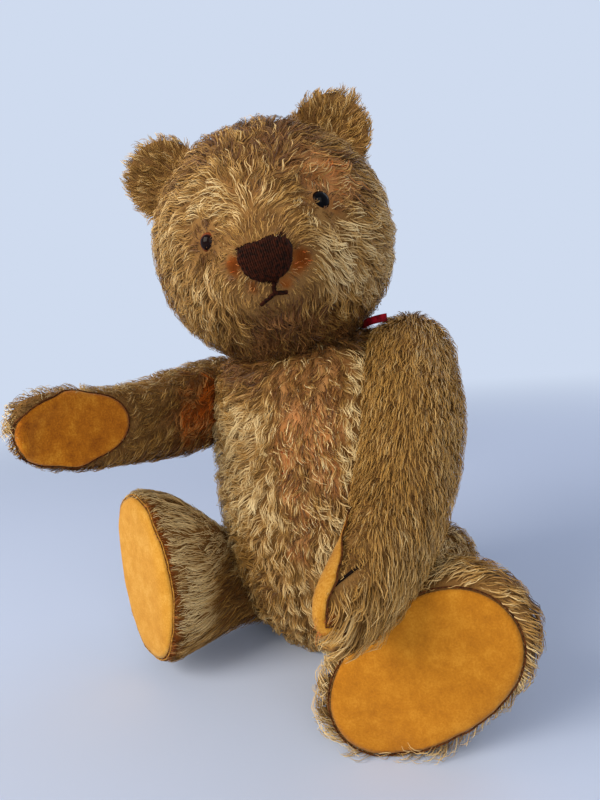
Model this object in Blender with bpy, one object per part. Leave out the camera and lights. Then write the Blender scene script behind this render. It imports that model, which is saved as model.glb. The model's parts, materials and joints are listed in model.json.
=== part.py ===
"""Old mohair teddy bear with five disc joints, sitting with its head turned to its left.

Units are metres, +Z is up, the bear's front looks along -Y and its own left is +X.
The origin is on the floor under the middle of the bear's bounding box.
Each limb hangs from an empty on its joint: the flat seats of limb and torso meet there, and a
split pin holds a fibreboard disc and a washer on either side of the two cloth walls.
"""
import math

import bmesh
import bpy
from mathutils import Matrix, Vector

# ---- cloth, gaps and joint hardware -------------------------------------------------------
GAP = 0.0003                 # clearance between pieces that touch
CLOTH = 0.0025               # mohair cloth with its pressed pile
SHARPEST = 1.6               # most that an edge's inset may exceed the depth
DISC_THICK = 0.0020
WASHER_THICK = 0.0008
WASHER_RADIUS = 0.0045
PIN_HOLE = 0.0018
WIRE = 0.00055               # radius of the split pin's wire
LEG_OFFSET = 0.0007          # each pin leg from the joint axis
PIN_EYE = 0.0017             # radius of the pin's eye
PIN_CURL = 0.0019            # radius of its rolled ends
POCKET_RADIUS = 0.0056       # room for eye and rolled ends in the stuffing
POCKET_DEPTH = 0.0125
DISC_AT = GAP / 2 + CLOTH + GAP
WASHER_AT = DISC_AT + DISC_THICK + GAP
PIN_AT = WASHER_AT + WASHER_THICK + GAP

# ---- how the bear sits --------------------------------------------------------------------
CENTRE_SHIFT = Vector((-0.0095, 0.0524, 0.005))   # brings the bounding box over the origin
LEAN_RIGHT = math.radians(5.5)
LEAN_FORWARD = math.radians(5.6)

# ---- torso --------------------------------------------------------------------------------
NECK_HEIGHT = 0.1437
NECK_BACK = -0.0016
NECK_TIP_FORWARD = math.radians(6.4)
NECK_TIP_LEFT = math.radians(2.5)
TORSO_SECTIONS = (           # height, half width, front depth, back depth
    (-0.012, 0.000, 0.000, 0.000),
    (-0.012, 0.026, 0.020, 0.022),
    (-0.001, 0.042, 0.036, 0.036),
    (0.020, 0.050, 0.047, 0.044),
    (0.042, 0.052, 0.051, 0.046),
    (0.060, 0.0525, 0.0505, 0.0462),
    (0.075, 0.052, 0.049, 0.046),
    (0.100, 0.050, 0.043, 0.043),
    (0.122, 0.048, 0.036, 0.038),
    (0.137, 0.045, 0.029, 0.031),
    (0.147, 0.033, 0.025, 0.025),
    (0.150, 0.000, 0.000, 0.000),
)
TORSO_SQUARE = 2.6           # 2 is an ellipse, more is squarer
SHOULDER_BULGE = {"start": 0.030, "slope": 0.55}     # the flank swells again below the shoulder
HIP_BULGE = {"start": 0.046, "slope": 1.2}           # and above the hip

# ---- shoulders and arms -------------------------------------------------------------------
SHOULDER_OUT = 0.0427
SHOULDER_HEIGHT = 0.1235
SHOULDER_TIP = {"right": math.radians(6.6), "left": math.radians(12.0)}
SHOULDER_DISC = 0.0110
ARM_SWING = {"right": math.radians(97.0), "left": math.radians(57.6)}
ARM_SECTIONS = (             # along the arm, half breadth, inner face, outer face
    (-0.0235, 0.0000, 0.012, 0.012),
    (-0.0205, 0.0100, 0.001, 0.021),
    (-0.0120, 0.0175, -0.004, 0.028),
    (0.0040, 0.0205, -0.006, 0.0305),
    (0.0250, 0.0208, -0.005, 0.0315),
    (0.0480, 0.0190, -0.003, 0.0300),
    (0.0680, 0.0168, -0.004, 0.0275),
    (0.0850, 0.0160, -0.006, 0.0255),
    (0.1030, 0.0166, -0.006, 0.0215),
    (0.1190, 0.0158, -0.006, 0.0155),
    (0.1310, 0.0105, -0.004, 0.0095),
    (0.1345, 0.0000, 0.0045, 0.0045),
)
ARM_SQUARE = 2.5
ARM_BEND = {"right": 0.0070, "left": 0.0110}   # how far the elbow lies behind a straight arm
ARM_MIDDLE = 0.0120          # the line about which the paw turns, from the joint plane
PAW_TURN = {"right": 0.0, "left": math.radians(14.0)}        # how far the palm turns forward
ARM_LENGTH = 0.1345
PAW_START = 0.085            # from here on the inner face is the paw's
TIP_DEPTH = 3.0              # the paw's narrow tip is that many cloths thick
LEAST = 0.45                 # and its cavity never narrower than this share
PAW_FACE = 0.0006            # the paw's flat inner face from the joint plane
PAW_PAD = {"middle": 0.1045, "half_length": 0.0265, "half_width": 0.0136}

# ---- hips and legs ------------------------------------------------------------------------
HIP_OUT = 0.0300
HIP_HEIGHT = 0.0262
HIP_BACK = 0.0011
HIP_SPLAY = math.radians(8.5)
HIP_TILT = math.radians(12.0)
HIP_DISC = 0.0155
HIP_SEAT = 0.054             # the leg's inner face is flat this far from its joint
HIP_SEAT_SLOPE = 0.8         # and may cross the joint plane beyond
LEG_LENGTH = 0.0913
LEG_LIFT = {"right": math.radians(11.2), "left": math.radians(-3.5)}
FOOT_ROLL = {"right": math.radians(-8.4), "left": math.radians(47.0)}
FOOT_DIVERGE = {"right": math.radians(-2.9), "left": math.radians(4.0)}
SOLE_PITCH = {"right": math.radians(3.4), "left": math.radians(-18.8)}
SOLE_TURN = {"right": math.radians(7.0), "left": 0.0}        # how far the sole faces outwards
FOOT_RAISE = 0.0033
LEG_MIDDLE = 0.0153          # the line about which the foot rolls, from the joint plane
LEG_SECTIONS = (             # along the leg, toe half, heel half, inner face, outer face
    (-0.0260, 0.0000, 0.0000, 0.012, 0.012),
    (-0.0230, 0.0110, 0.0110, 0.001, 0.023),
    (-0.0140, 0.0195, 0.0190, -0.005, 0.030),
    (0.0000, 0.0240, 0.0225, -0.007, 0.0335),
    (0.0180, 0.0235, 0.0220, -0.006, 0.0340),
    (0.0340, 0.0230, 0.0205, -0.003, 0.0330),
    (0.0460, 0.0285, 0.0205, -0.004, 0.0335),
    (0.0580, 0.0395, 0.0225, -0.006, 0.0355),
    (0.0720, 0.0495, 0.0250, -0.0085, 0.0390),
    (0.0875, 0.0532, 0.0275, -0.0102, 0.0408),
    (0.0913, 0.0516, 0.0260, -0.0092, 0.0398),
    (0.0914, 0.0300, 0.0080, 0.002, 0.0280),
    (0.0914, 0.0128, -0.0128, 0.0153, 0.0153),
)
LEG_SQUARE = 2.4
SOLE_PAD = {"toe": 0.0495, "heel": 0.0240, "half_width": 0.0228, "broad": 0.04}

# ---- felt ---------------------------------------------------------------------------------
FELT_THICK = 0.0018
FELT_DOME = 0.0010
FELT_POINTS = 24             # corners of a pad's outline
FELT_SQUARE = 2.2            # 2 is an ellipse, more is squarer
OPENING_REACH = 0.0040       # how far a pad's opening is cut to either side of its face

# ---- head ---------------------------------------------------------------------------------
HEAD_TURN = math.radians(31.0)
HEAD_HEIGHT = 0.0504         # middle of the head above the neck joint
HEAD_RADII = Vector((0.0535, 0.0525, 0.0522))
MUZZLE_DIRECTION = Vector((0.0, -1.0, -0.16)).normalized()
MUZZLE_OUT = 0.0150
MUZZLE_SPREAD = math.radians(25.0)
CHEEK_OUT = 0.0020
NECK_DISC = 0.0160
NECK_SEAT = 0.0215           # radius of the head's gathered, flat underside
EYE_PLACES = {"right": (-0.0222, 0.0066), "left": (0.0248, 0.0108)}   # x and z from its middle
EYE_RADIUS = 0.0043
EYE_PROUD = 0.0012           # how far the glass stands out of the skin
EYE_FORWARD = 0.6            # the eyes look more to the front than straight out of the skin
SHANK_RADIUS = 0.0006
SHANK_LENGTH = 0.0060
NOSE_HEIGHT = -0.0058
NOSE_HALF_WIDTH = 0.0102
NOSE_HALF_HEIGHT = 0.0078
NOSE_THICK = 0.0018
NOSE_FLARE = 0.22            # the nose is wider at its top
NOSE_SQUARE = 2.8
MOUTH_STEM = 0.0050
MOUTH_LEFT = (0.0040, -0.0028)       # stroke ends across and up from the fork
MOUTH_RIGHT = (-0.0062, -0.0052)
THREAD = 0.0011
EAR_ANGLE = {"right": math.radians(44.0), "left": math.radians(47.5)}
EAR_REACH = {"right": 0.0580, "left": 0.0550}          # middle of the ear from the head's
EAR_RADIUS = 0.0185
EAR_THICK = 0.0030
EAR_CUP = 0.0060
EAR_BACK = 0.0016
EAR_ROOT = 0.0018                                       # how thick the ear stays where it meets the head

# ---- neck ribbon --------------------------------------------------------------------------
RIBBON_HALF_WIDTH = 0.0016
RIBBON_HALF_THICK = 0.0003
RIBBON_ROUTE = (             # from the right of the nape round the back to over the left shoulder
    (-0.0280, 0.0130, 0.0026), (-0.0190, 0.0240, 0.0022), (-0.0060, 0.0300, 0.0020),
    (0.0080, 0.0295, 0.0020), (0.0200, 0.0240, 0.0024), (0.0290, 0.0150, 0.0030),
    (0.0345, 0.0050, 0.0042), (0.0400, -0.0010, 0.0062), (0.0460, -0.0040, 0.0074),
    (0.0520, -0.0050, 0.0076),
)

SIDES = {"right": -1, "left": 1}


# ---- small tools --------------------------------------------------------------------------
def material(name, colour, roughness, metallic=0.0):
    """A plain Principled material."""
    made = bpy.data.materials.new(name)
    made.use_nodes = True
    shader = made.node_tree.nodes["Principled BSDF"]
    shader.inputs["Base Color"].default_value = (*colour, 1.0)
    shader.inputs["Roughness"].default_value = roughness
    shader.inputs["Metallic"].default_value = metallic
    return made


def empty(name, matrix, parent=None):
    """An empty that carries the pieces of one joint."""
    made = bpy.data.objects.new(name, None)
    made.parent = parent
    made.matrix_basis = matrix
    bpy.context.collection.objects.link(made)
    return made


def to_object(name, bm, finish, parent):
    """Close a bmesh into a named object under its parent."""
    bmesh.ops.recalc_face_normals(bm, faces=bm.faces[:])
    mesh = bpy.data.meshes.new(name)
    bm.to_mesh(mesh)
    bm.free()
    mesh.shade_smooth()
    mesh.materials.append(finish)
    made = bpy.data.objects.new(name, mesh)
    made.parent = parent
    bpy.context.collection.objects.link(made)
    return made


def cut(target, cutter):
    """Take the cutter's shape out of the target, and keep the cutter as a guide."""
    cutter.hide_render = True
    cutter.display_type = "WIRE"
    boolean = target.modifiers.new(cutter.name, "BOOLEAN")
    boolean.operation = "DIFFERENCE"
    boolean.object = cutter


def curve_value(rows, u):
    """Catmull-Rom value of a table of rows at u from 0 to 1."""
    place = u * (len(rows) - 1)
    i = min(int(place), len(rows) - 2)
    t = place - i
    before, here = rows[max(i - 1, 0)], rows[i]
    after, later = rows[i + 1], rows[min(i + 2, len(rows) - 1)]
    return [
        b + 0.5 * t * (c - a + t * (2 * a - 5 * b + 4 * c - d + t * (3 * (b - c) + d - a)))
        for a, b, c, d in zip(before, here, after, later)
    ]


def rounded(angle, square):
    """Point of a unit superellipse, 2 for a circle and more for a squarer round."""
    c, s = math.cos(angle), math.sin(angle)
    return (math.copysign(abs(c) ** (2 / square), c), math.copysign(abs(s) ** (2 / square), s))


def smooth_step(value, low, high):
    """0 below low, 1 above high, and a smooth rise between."""
    t = max(0.0, min(1.0, (value - low) / (high - low)))
    return t * t * (3 - 2 * t)


def pulled_sphere(segments, rings, place):
    """A ball of rings whose points go where place(u, angle) says, u from pole to pole."""
    bm = bmesh.new()
    bmesh.ops.create_uvsphere(bm, u_segments=segments, v_segments=rings, radius=1.0)
    for vert in bm.verts:
        polar = math.acos(max(-1.0, min(1.0, vert.co.z)))
        vert.co = place(polar / math.pi, math.atan2(vert.co.y, vert.co.x))
    bmesh.ops.triangulate(bm, faces=bm.faces[:], quad_method="FIXED")
    if bm.calc_volume(signed=True) < 0:
        bmesh.ops.reverse_faces(bm, faces=bm.faces[:])
    return bm


def press(bm, depth, seats):
    """Press a shape onto its flat seats, at a depth behind them."""
    for vert in bm.verts:
        for seat in seats:
            seat(vert, depth)
    return bm


def shrunk(bm, depth, seats):
    """The shape pressed onto its seats and shrunk evenly by depth."""
    press(bm, 0.0, seats)
    bm.normal_update()
    moves = [vert.normal * (-depth * min(vert.calc_shell_factor(), SHARPEST)) for vert in bm.verts]
    for vert, move in zip(bm.verts, moves):
        vert.co += move
    return press(bm, depth, seats)


def sewn_skin(name, layer, finishes, parent):
    """Cloth cover with its cavity cut out, and the stuffing that fills it.

    layer(depth) gives the shape of the part at a depth below its outer face.
    """
    cover = to_object(f"{name}_cover", layer(0.0), finishes["mohair"], parent)
    cavity = to_object(f"{name}_cavity", layer(CLOTH), finishes["mohair"], parent)
    stuffing = to_object(f"{name}_stuffing", layer(CLOTH + GAP), finishes["wood_wool"], parent)
    cut(cover, cavity)
    return cover, stuffing


def turned(profile, segments):
    """A solid turned about Z from (radius, height) points; a ring when none lies on the axis."""
    bm = bmesh.new()
    verts = [bm.verts.new((radius, 0.0, height)) for radius, height in profile]
    edges = [bm.edges.new(pair) for pair in zip(verts, verts[1:])]
    if all(radius > 0 for radius, height in profile):
        edges.append(bm.edges.new((verts[-1], verts[0])))
    bmesh.ops.spin(bm, geom=verts + edges, cent=(0, 0, 0), axis=(0, 0, 1),
                   angle=2 * math.pi, steps=segments, use_merge=True)
    bmesh.ops.remove_doubles(bm, verts=bm.verts[:], dist=1e-6)
    bmesh.ops.dissolve_degenerate(bm, edges=bm.edges[:], dist=1e-7)
    return bm


def plate(outer, hole, low, high, segments):
    """A flat ring, such as a disc or a washer."""
    return turned([(hole, low), (outer, low), (outer, high), (hole, high)], segments)


def rod(radius, low, high, segments):
    """A plain turned rod, used as a cutter."""
    return turned([(0, low), (radius, low), (radius, high), (0, high)], segments)


def seat_above(point, normal, reach=1.0, slope=0.0):
    """A flat seat: points stay on the normal's side of a plane, out to its reach and a slope."""
    def keep(vert, depth):
        away = vert.co - point
        height = away.dot(normal)
        beyond = max(0.0, (away - normal * height).length - reach) * slope
        distance = height - depth - GAP / 2 + beyond
        if distance < 0:
            vert.co -= normal * distance
    return keep


# ---- joint hardware -----------------------------------------------------------------------
def split_pin(name, finish, parent):
    """Split pin: an eye on the limb's side, two legs, and rolled ends on the body's side."""
    def arc(middle_x, middle_z, radius, first, last, steps):
        turn = [math.radians(first + (last - first) * i / steps) for i in range(steps + 1)]
        return [(middle_x + radius * math.cos(a), middle_z + radius * math.sin(a)) for a in turn]

    eye_middle = PIN_AT + WIRE + PIN_EYE
    opening = math.degrees(math.asin(LEG_OFFSET / PIN_EYE))
    eye = arc(0.0, eye_middle, PIN_EYE, -90 + opening, 270 - opening, 9)
    roll = arc(LEG_OFFSET + PIN_CURL, -PIN_AT - WIRE, PIN_CURL, 180, 340, 5)
    half = list(reversed(roll)) + [(LEG_OFFSET, 0.0)]
    points = half + eye + [(-x, z) for x, z in reversed(half)]

    curve = bpy.data.curves.new(name, "CURVE")
    curve.dimensions = "3D"
    curve.bevel_depth = WIRE
    curve.bevel_resolution = 0
    curve.use_fill_caps = True
    spline = curve.splines.new("POLY")
    spline.points.add(len(points) - 1)
    for point, (x, z) in zip(spline.points, points):
        point.co = (x, 0.0, z, 1.0)
    curve.materials.append(finish)
    made = bpy.data.objects.new(name, curve)
    made.parent = parent
    bpy.context.collection.objects.link(made)


def fit_joint(name, axis_frame, disc_radius, limb, body, finishes):
    """Discs, washers and pin of one joint, with their holes and pockets in limb and body.

    axis_frame is an empty whose +Z runs along the joint's axis into the limb.
    """
    for part, sign, (cover, stuffing) in (("limb", 1, limb), ("body", -1, body)):
        disc = plate(disc_radius, PIN_HOLE, sign * DISC_AT, sign * (DISC_AT + DISC_THICK), 20)
        to_object(f"{name}_{part}_disc", disc, finishes["fibreboard"], axis_frame)
        washer = plate(WASHER_RADIUS, PIN_HOLE, sign * WASHER_AT,
                       sign * (WASHER_AT + WASHER_THICK), 12)
        to_object(f"{name}_{part}_washer", washer, finishes["steel"], axis_frame)

        hole = rod(PIN_HOLE, sign * -GAP, sign * (CLOTH + 4 * GAP), 10)
        cut(cover, to_object(f"{name}_{part}_hole", hole, finishes["steel"], axis_frame))
        floor = DISC_AT + DISC_THICK + GAP
        pocket = turned([(0, 0), (disc_radius + GAP, 0), (disc_radius + GAP, sign * floor),
                         (POCKET_RADIUS, sign * floor), (POCKET_RADIUS, sign * POCKET_DEPTH),
                         (0, sign * POCKET_DEPTH)], 20)
        cut(stuffing, to_object(f"{name}_{part}_pocket", pocket, finishes["steel"], axis_frame))
    split_pin(f"{name}_split_pin", finishes["steel"], axis_frame)


# ---- felt pads ----------------------------------------------------------------------------
def felt_outline(up, down, half_width, broad=0.0):
    """Oval outline in X and Z from -down to up, broader towards +Z."""
    points = []
    for i in range(FELT_POINTS):
        x, z = rounded(2 * math.pi * i / FELT_POINTS, FELT_SQUARE)
        points.append((half_width * x * (1 + broad * z), (up - down) / 2 + (up + down) / 2 * z))
    return points


def felt_pad(name, outline, frame, finish, cover, parent):
    """Felt pad let into the cover, flush with it, and the opening that it closes.

    outline(grow) gives corners in frame's X and Z, and frame's -Y looks out of the pad.
    """
    def slab(grow, out, back):
        bm = bmesh.new()
        ring = [bm.verts.new(frame @ Vector((x, -out, z))) for x, z in outline(grow)]
        face = bm.faces.new(ring)
        made = bmesh.ops.extrude_face_region(bm, geom=[face])
        backs = [item for item in made["geom"] if isinstance(item, bmesh.types.BMVert)]
        shift = frame.to_3x3() @ Vector((0, out + back, 0))
        bmesh.ops.translate(bm, verts=backs, vec=shift)
        return bm, ring

    pad, ring = slab(0.0, 0.0, FELT_THICK)
    front = next(face for face in pad.faces if all(vert in ring for vert in face.verts))
    poked = bmesh.ops.poke(pad, faces=[front])
    for vert in poked["verts"]:
        vert.co += frame.to_3x3() @ Vector((0, -FELT_DOME, 0))
    to_object(name, pad, finish, parent)
    opening, _ = slab(GAP, OPENING_REACH, OPENING_REACH)
    cut(cover, to_object(f"{name}_opening", opening, finish, parent))


# ---- arms ---------------------------------------------------------------------------------
def arm_frame(name, along):
    """Frame of the arm's section: X outwards, -Y to the front, origin in the arm's middle."""
    side = SIDES[name]
    bend = ARM_BEND[name] * math.sin(math.pi * max(0.0, min(1.0, along / ARM_LENGTH)))
    turn = PAW_TURN[name] * smooth_step(along, 0.030, 0.095) * side
    return Matrix.Translation((side * ARM_MIDDLE, bend, -along)) @ Matrix.Rotation(turn, 4, "Z")


def arm_shape(name, depth):
    """The arm hanging along -Z from its joint, shrunk by a depth; its front looks to -Y."""
    side = SIDES[name]
    first, last = ARM_SECTIONS[0][0], ARM_SECTIONS[-1][0]
    shorter = 1 - depth * (1 + TIP_DEPTH) / (last - first)

    def less(half):
        return max(half - depth, half * LEAST)

    def place(u, angle):
        along, breadth, inner, outer = curve_value(ARM_SECTIONS, u)
        p, q = rounded(angle, ARM_SQUARE)
        out = (inner + outer) / 2 + less((outer - inner) / 2) * p
        if along > PAW_START:
            out = max(out, PAW_FACE + depth)
        down = first + depth + (along - first) * shorter
        spot = Vector((side * (out - ARM_MIDDLE), -less(breadth) * q, 0))
        return arm_frame(name, down) @ spot
    return pulled_sphere(14, len(ARM_SECTIONS) - 1, place)


def make_arm(name, finishes, torso, torso_skin):
    """One arm with its paw pad and shoulder joint."""
    side = SIDES[name]
    plane = Matrix.Rotation(-side * SHOULDER_TIP[name], 4, "Y")
    swing = Matrix.Rotation(-ARM_SWING[name], 4, "X")
    pivot = Matrix.Translation((side * SHOULDER_OUT, 0.0, SHOULDER_HEIGHT))
    joint = empty(f"{name}_shoulder", pivot @ plane @ swing, torso)
    outward = Vector((side, 0, 0))
    flat = [seat_above(Vector((0, 0, 0)), outward)]
    skin = sewn_skin(f"{name}_arm", lambda depth: press(arm_shape(name, depth), depth, flat),
                     finishes, joint)

    to_face = Matrix.Translation((side * (PAW_FACE - ARM_MIDDLE), 0, 0))
    face = arm_frame(name, PAW_PAD["middle"]) @ to_face
    face = face @ Matrix.Rotation(side * math.pi / 2, 4, "Z") @ Matrix.Rotation(math.pi, 4, "Y")

    def outline(grow):
        half = PAW_PAD["half_length"] + grow
        return felt_outline(half, half, PAW_PAD["half_width"] + grow)
    felt_pad(f"{name}_paw_pad", outline, face, finishes["felt"], skin[0], joint)
    axis = empty(f"{name}_shoulder_axis", Matrix.Rotation(side * math.pi / 2, 4, "Y"), joint)
    fit_joint(f"{name}_shoulder", axis, SHOULDER_DISC, skin, torso_skin, finishes)


# ---- legs ---------------------------------------------------------------------------------
def leg_frame(name, along):
    """Frame of the leg's section: X outwards, Z towards the toes, origin on the joint plane."""
    side = SIDES[name]
    part = smooth_step(along, 0.010, 0.075)
    roll = FOOT_ROLL[name] * part * side
    diverge = FOOT_DIVERGE[name]
    out = max(0.0, along) * math.sin(diverge)
    lift = FOOT_RAISE * max(0.0, along) / LEG_LENGTH
    spot = Vector((side * out, -along * math.cos(diverge), lift))
    return Matrix.Translation(spot) @ Matrix.Rotation(roll, 4, "Y")


def leg_point(name, along, out, up):
    """A point of the leg from its distance along, outwards and towards the toes."""
    side = SIDES[name]
    tip = math.tan(SOLE_PITCH[name]) * up - math.tan(SOLE_TURN[name]) * (out - LEG_MIDDLE)
    tip *= smooth_step(along, 0.030, 0.085)
    local = leg_frame(name, along) @ Vector((side * (out - LEG_MIDDLE), -tip, up))
    return local + Vector((side * LEG_MIDDLE, 0, 0))


def leg_shape(name):
    """The leg stretched out along -Y from its joint, toes up."""
    def place(u, angle):
        along, toe, heel, inner, outer = curve_value(LEG_SECTIONS, u)
        p, q = rounded(angle, LEG_SQUARE)
        out = (inner + outer) / 2 + (outer - inner) / 2 * p
        return leg_point(name, along, out, (toe - heel) / 2 + (toe + heel) / 2 * q)
    return pulled_sphere(16, len(LEG_SECTIONS) - 1, place)


def floor_seat(joint):
    """The floor as a seat for pieces of a joint that rest on it."""
    world = world_matrix(joint)
    back = world.inverted()
    up = (back.to_3x3() @ Vector((0, 0, 1))).normalized()
    ground = back @ Vector((0, 0, -GAP / 2))
    return seat_above(ground, up)


def world_matrix(item):
    """World matrix worked out along the parents, before Blender updates it."""
    matrix = item.matrix_basis.copy()
    while item.parent:
        item = item.parent
        matrix = item.matrix_basis @ matrix
    return matrix


def make_leg(name, finishes, torso, torso_skin):
    """One leg with its foot pad and hip joint."""
    side = SIDES[name]
    turn = Matrix.Rotation(side * HIP_SPLAY, 4, "Z") @ Matrix.Rotation(side * HIP_TILT, 4, "Y")
    lift = Matrix.Rotation(-LEG_LIFT[name], 4, "X")
    pivot = Matrix.Translation((side * HIP_OUT, HIP_BACK, HIP_HEIGHT))
    joint = empty(f"{name}_hip", pivot @ turn @ lift, torso)
    flat = seat_above(Vector((0, 0, 0)), Vector((side, 0, 0)), HIP_SEAT, HIP_SEAT_SLOPE)
    seats = [flat, floor_seat(joint)]
    skin = sewn_skin(f"{name}_leg", lambda depth: shrunk(leg_shape(name), depth, seats),
                     finishes, joint)

    middle = leg_point(name, LEG_LENGTH, LEG_MIDDLE, 0.0)
    toe = leg_point(name, LEG_LENGTH, LEG_MIDDLE, SOLE_PAD["toe"]) - middle
    across = leg_point(name, LEG_LENGTH, 2 * LEG_MIDDLE, 0.0) - middle
    z_axis = toe.normalized()
    y_axis = z_axis.cross(side * across).normalized()
    x_axis = y_axis.cross(z_axis)
    face = Matrix((x_axis, y_axis, z_axis)).transposed().to_4x4()
    face.translation = middle

    def outline(grow):
        return felt_outline(SOLE_PAD["toe"] + grow, SOLE_PAD["heel"] + grow,
                            SOLE_PAD["half_width"] + grow, SOLE_PAD["broad"])
    felt_pad(f"{name}_foot_pad", outline, face, finishes["felt"], skin[0], joint)
    axis = empty(f"{name}_hip_axis", Matrix.Rotation(side * math.pi / 2, 4, "Y"), joint)
    fit_joint(f"{name}_hip", axis, HIP_DISC, skin, torso_skin, finishes)


# ---- torso --------------------------------------------------------------------------------
def torso_point(u, angle):
    """Point of the torso before its joints' seats are pressed in."""
    height, half_width, front, back = curve_value(TORSO_SECTIONS, u)
    p, q = rounded(angle, TORSO_SQUARE)
    return Vector((half_width * p, -front * q if q > 0 else -back * q, height))


def bulging_seat(point, outward, up, start, slope):
    """A seat pressed into the torso, which swells out again past a height above or below it."""
    def keep(vert, depth):
        from_pivot = vert.co - point
        room = max(0.0, from_pivot.dot(up) - start) * slope
        over = from_pivot.dot(outward) + GAP / 2 + depth - room
        if over > 0:
            vert.co -= outward * over
    return keep


def make_torso(finishes, torso):
    """Cover and stuffing of the torso, with flat seats for head, arms and legs."""
    tip = neck_tip().to_3x3()
    neck = Vector((0, NECK_BACK, NECK_HEIGHT))
    seats = [seat_above(neck, -(tip @ Vector((0, 0, 1)))), floor_seat(torso)]
    for name, side in SIDES.items():
        plane = Matrix.Rotation(-side * SHOULDER_TIP[name], 3, "Y")
        seats.append(bulging_seat(Vector((side * SHOULDER_OUT, 0, SHOULDER_HEIGHT)),
                                  plane @ Vector((side, 0, 0)), plane @ Vector((0, 0, -1)),
                                  **SHOULDER_BULGE))
        turn = Matrix.Rotation(side * HIP_SPLAY, 3, "Z") @ Matrix.Rotation(side * HIP_TILT, 3, "Y")
        seats.append(bulging_seat(Vector((side * HIP_OUT, HIP_BACK, HIP_HEIGHT)),
                                  turn @ Vector((side, 0, 0)), turn @ Vector((0, 0, 1)),
                                  **HIP_BULGE))
    rings = len(TORSO_SECTIONS) - 1
    return sewn_skin("torso", lambda depth: shrunk(pulled_sphere(24, rings, torso_point), depth, seats),
                     finishes, torso)


# ---- head ---------------------------------------------------------------------------------
def head_radius(direction):
    """Distance of the head's skin from its middle in a direction."""
    scaled = Vector(a / b for a, b in zip(direction, HEAD_RADII))
    radius = 1.0 / scaled.length
    away = direction.angle(MUZZLE_DIRECTION) / MUZZLE_SPREAD
    radius += MUZZLE_OUT * math.exp(-away ** 2.4)
    low = max(0.0, -direction.z) * abs(direction.x)
    return radius + CHEEK_OUT * low * 2


def on_head(x, z, lift=0.0):
    """Point on the front of the head at x and z from its middle, lifted off the skin."""
    direction = Vector((x, -0.06, z)).normalized()
    for _ in range(8):
        reach = direction * head_radius(direction)
        direction = Vector((x, reach.y, z)).normalized()
    return direction * (head_radius(direction) + lift) + Vector((0, 0, HEAD_HEIGHT))


def neck_tip():
    """How the neck joint tips off the torso's own upright."""
    return Matrix.Rotation(NECK_TIP_LEFT, 4, "Y") @ Matrix.Rotation(NECK_TIP_FORWARD, 4, "X")


def head_shape():
    """The head above its joint, face towards -Y."""
    def place(u, angle):
        polar = math.pi * u
        direction = Vector((math.sin(polar) * math.cos(angle), math.sin(polar) * math.sin(angle),
                            math.cos(polar)))
        spot = direction * head_radius(direction) + Vector((0, 0, HEAD_HEIGHT))
        if math.hypot(spot.x, spot.y) < NECK_SEAT and u > 0.5:
            spot.z = 0.0
        return spot
    return pulled_sphere(24, 16, place)


def glass_eye(grow):
    """A glass eye looking along +Z with its wire shank behind it, or its socket when grown."""
    radius = EYE_RADIUS + grow
    shank = SHANK_RADIUS + grow
    steps = 7
    last = math.pi - math.asin(shank / radius)
    ball = [(radius * math.sin(last * i / steps), radius * math.cos(last * i / steps))
            for i in range(steps + 1)]
    back = -(EYE_RADIUS + SHANK_LENGTH + 2 * grow)
    return turned(ball + [(shank, back), (0, back)], 12)


def make_eyes(finishes, joint, skin):
    """Both eyes, each pressed into a socket of its own."""
    middle = Vector((0, 0, HEAD_HEIGHT))
    for name, (x, z) in EYE_PLACES.items():
        front = on_head(x, z, EYE_PROUD)
        look = ((front - middle).normalized() + Vector((0, -EYE_FORWARD, 0))).normalized()
        turn = look.to_track_quat("Z", "Y").to_matrix().to_4x4()
        frame = Matrix.Translation(front - look * EYE_RADIUS) @ turn
        eye = to_object(f"{name}_eye", glass_eye(0.0), finishes["glass"], joint)
        eye.matrix_basis = frame
        socket = to_object(f"{name}_eye_socket", glass_eye(GAP), finishes["glass"], joint)
        socket.matrix_basis = frame
        for piece in skin:
            cut(piece, socket)


def make_nose(finishes, joint):
    """Satin-stitched nose, a shield with rounded corners, laid on the muzzle."""
    def place(u, angle):
        reach = math.sin(math.pi * u)
        across, up = rounded(angle, NOSE_SQUARE)
        x = NOSE_HALF_WIDTH * across * reach * (1 + NOSE_FLARE * up * reach)
        z = NOSE_HEIGHT + NOSE_HALF_HEIGHT * up * reach
        height = math.cos(math.pi * u)
        return on_head(x, z, GAP + NOSE_THICK * max(0.0, height) ** 0.5)
    to_object("nose_embroidery", pulled_sphere(14, 8, place), finishes["thread"], joint)


def make_mouth(finishes, joint):
    """Mouth in laid thread: a stem under the nose and two strokes that part below it."""
    w = THREAD / 2
    top = NOSE_HEIGHT - NOSE_HALF_HEIGHT - 3 * GAP
    fork, left, right = top - MOUTH_STEM, MOUTH_LEFT, MOUTH_RIGHT
    outline = [(-w, top), (w, top), (w, fork),
               (left[0], fork + left[1] + w), (left[0], fork + left[1] - w),
               (0.0, fork - 1.6 * w),
               (right[0], fork + right[1] - w), (right[0], fork + right[1] + w),
               (-w, fork)]
    bm = bmesh.new()
    front = [bm.verts.new(on_head(x, z, GAP + THREAD)) for x, z in outline]
    face = bm.faces.new(front)
    made = bmesh.ops.extrude_face_region(bm, geom=[face])
    backs = [item for item in made["geom"] if isinstance(item, bmesh.types.BMVert)]
    middle = Vector((0, 0, HEAD_HEIGHT))
    for vert in backs:
        out = vert.co - middle
        vert.co = middle + out.normalized() * (out.length - THREAD)
    to_object("mouth_stitches", bm, finishes["thread"], joint)


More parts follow.
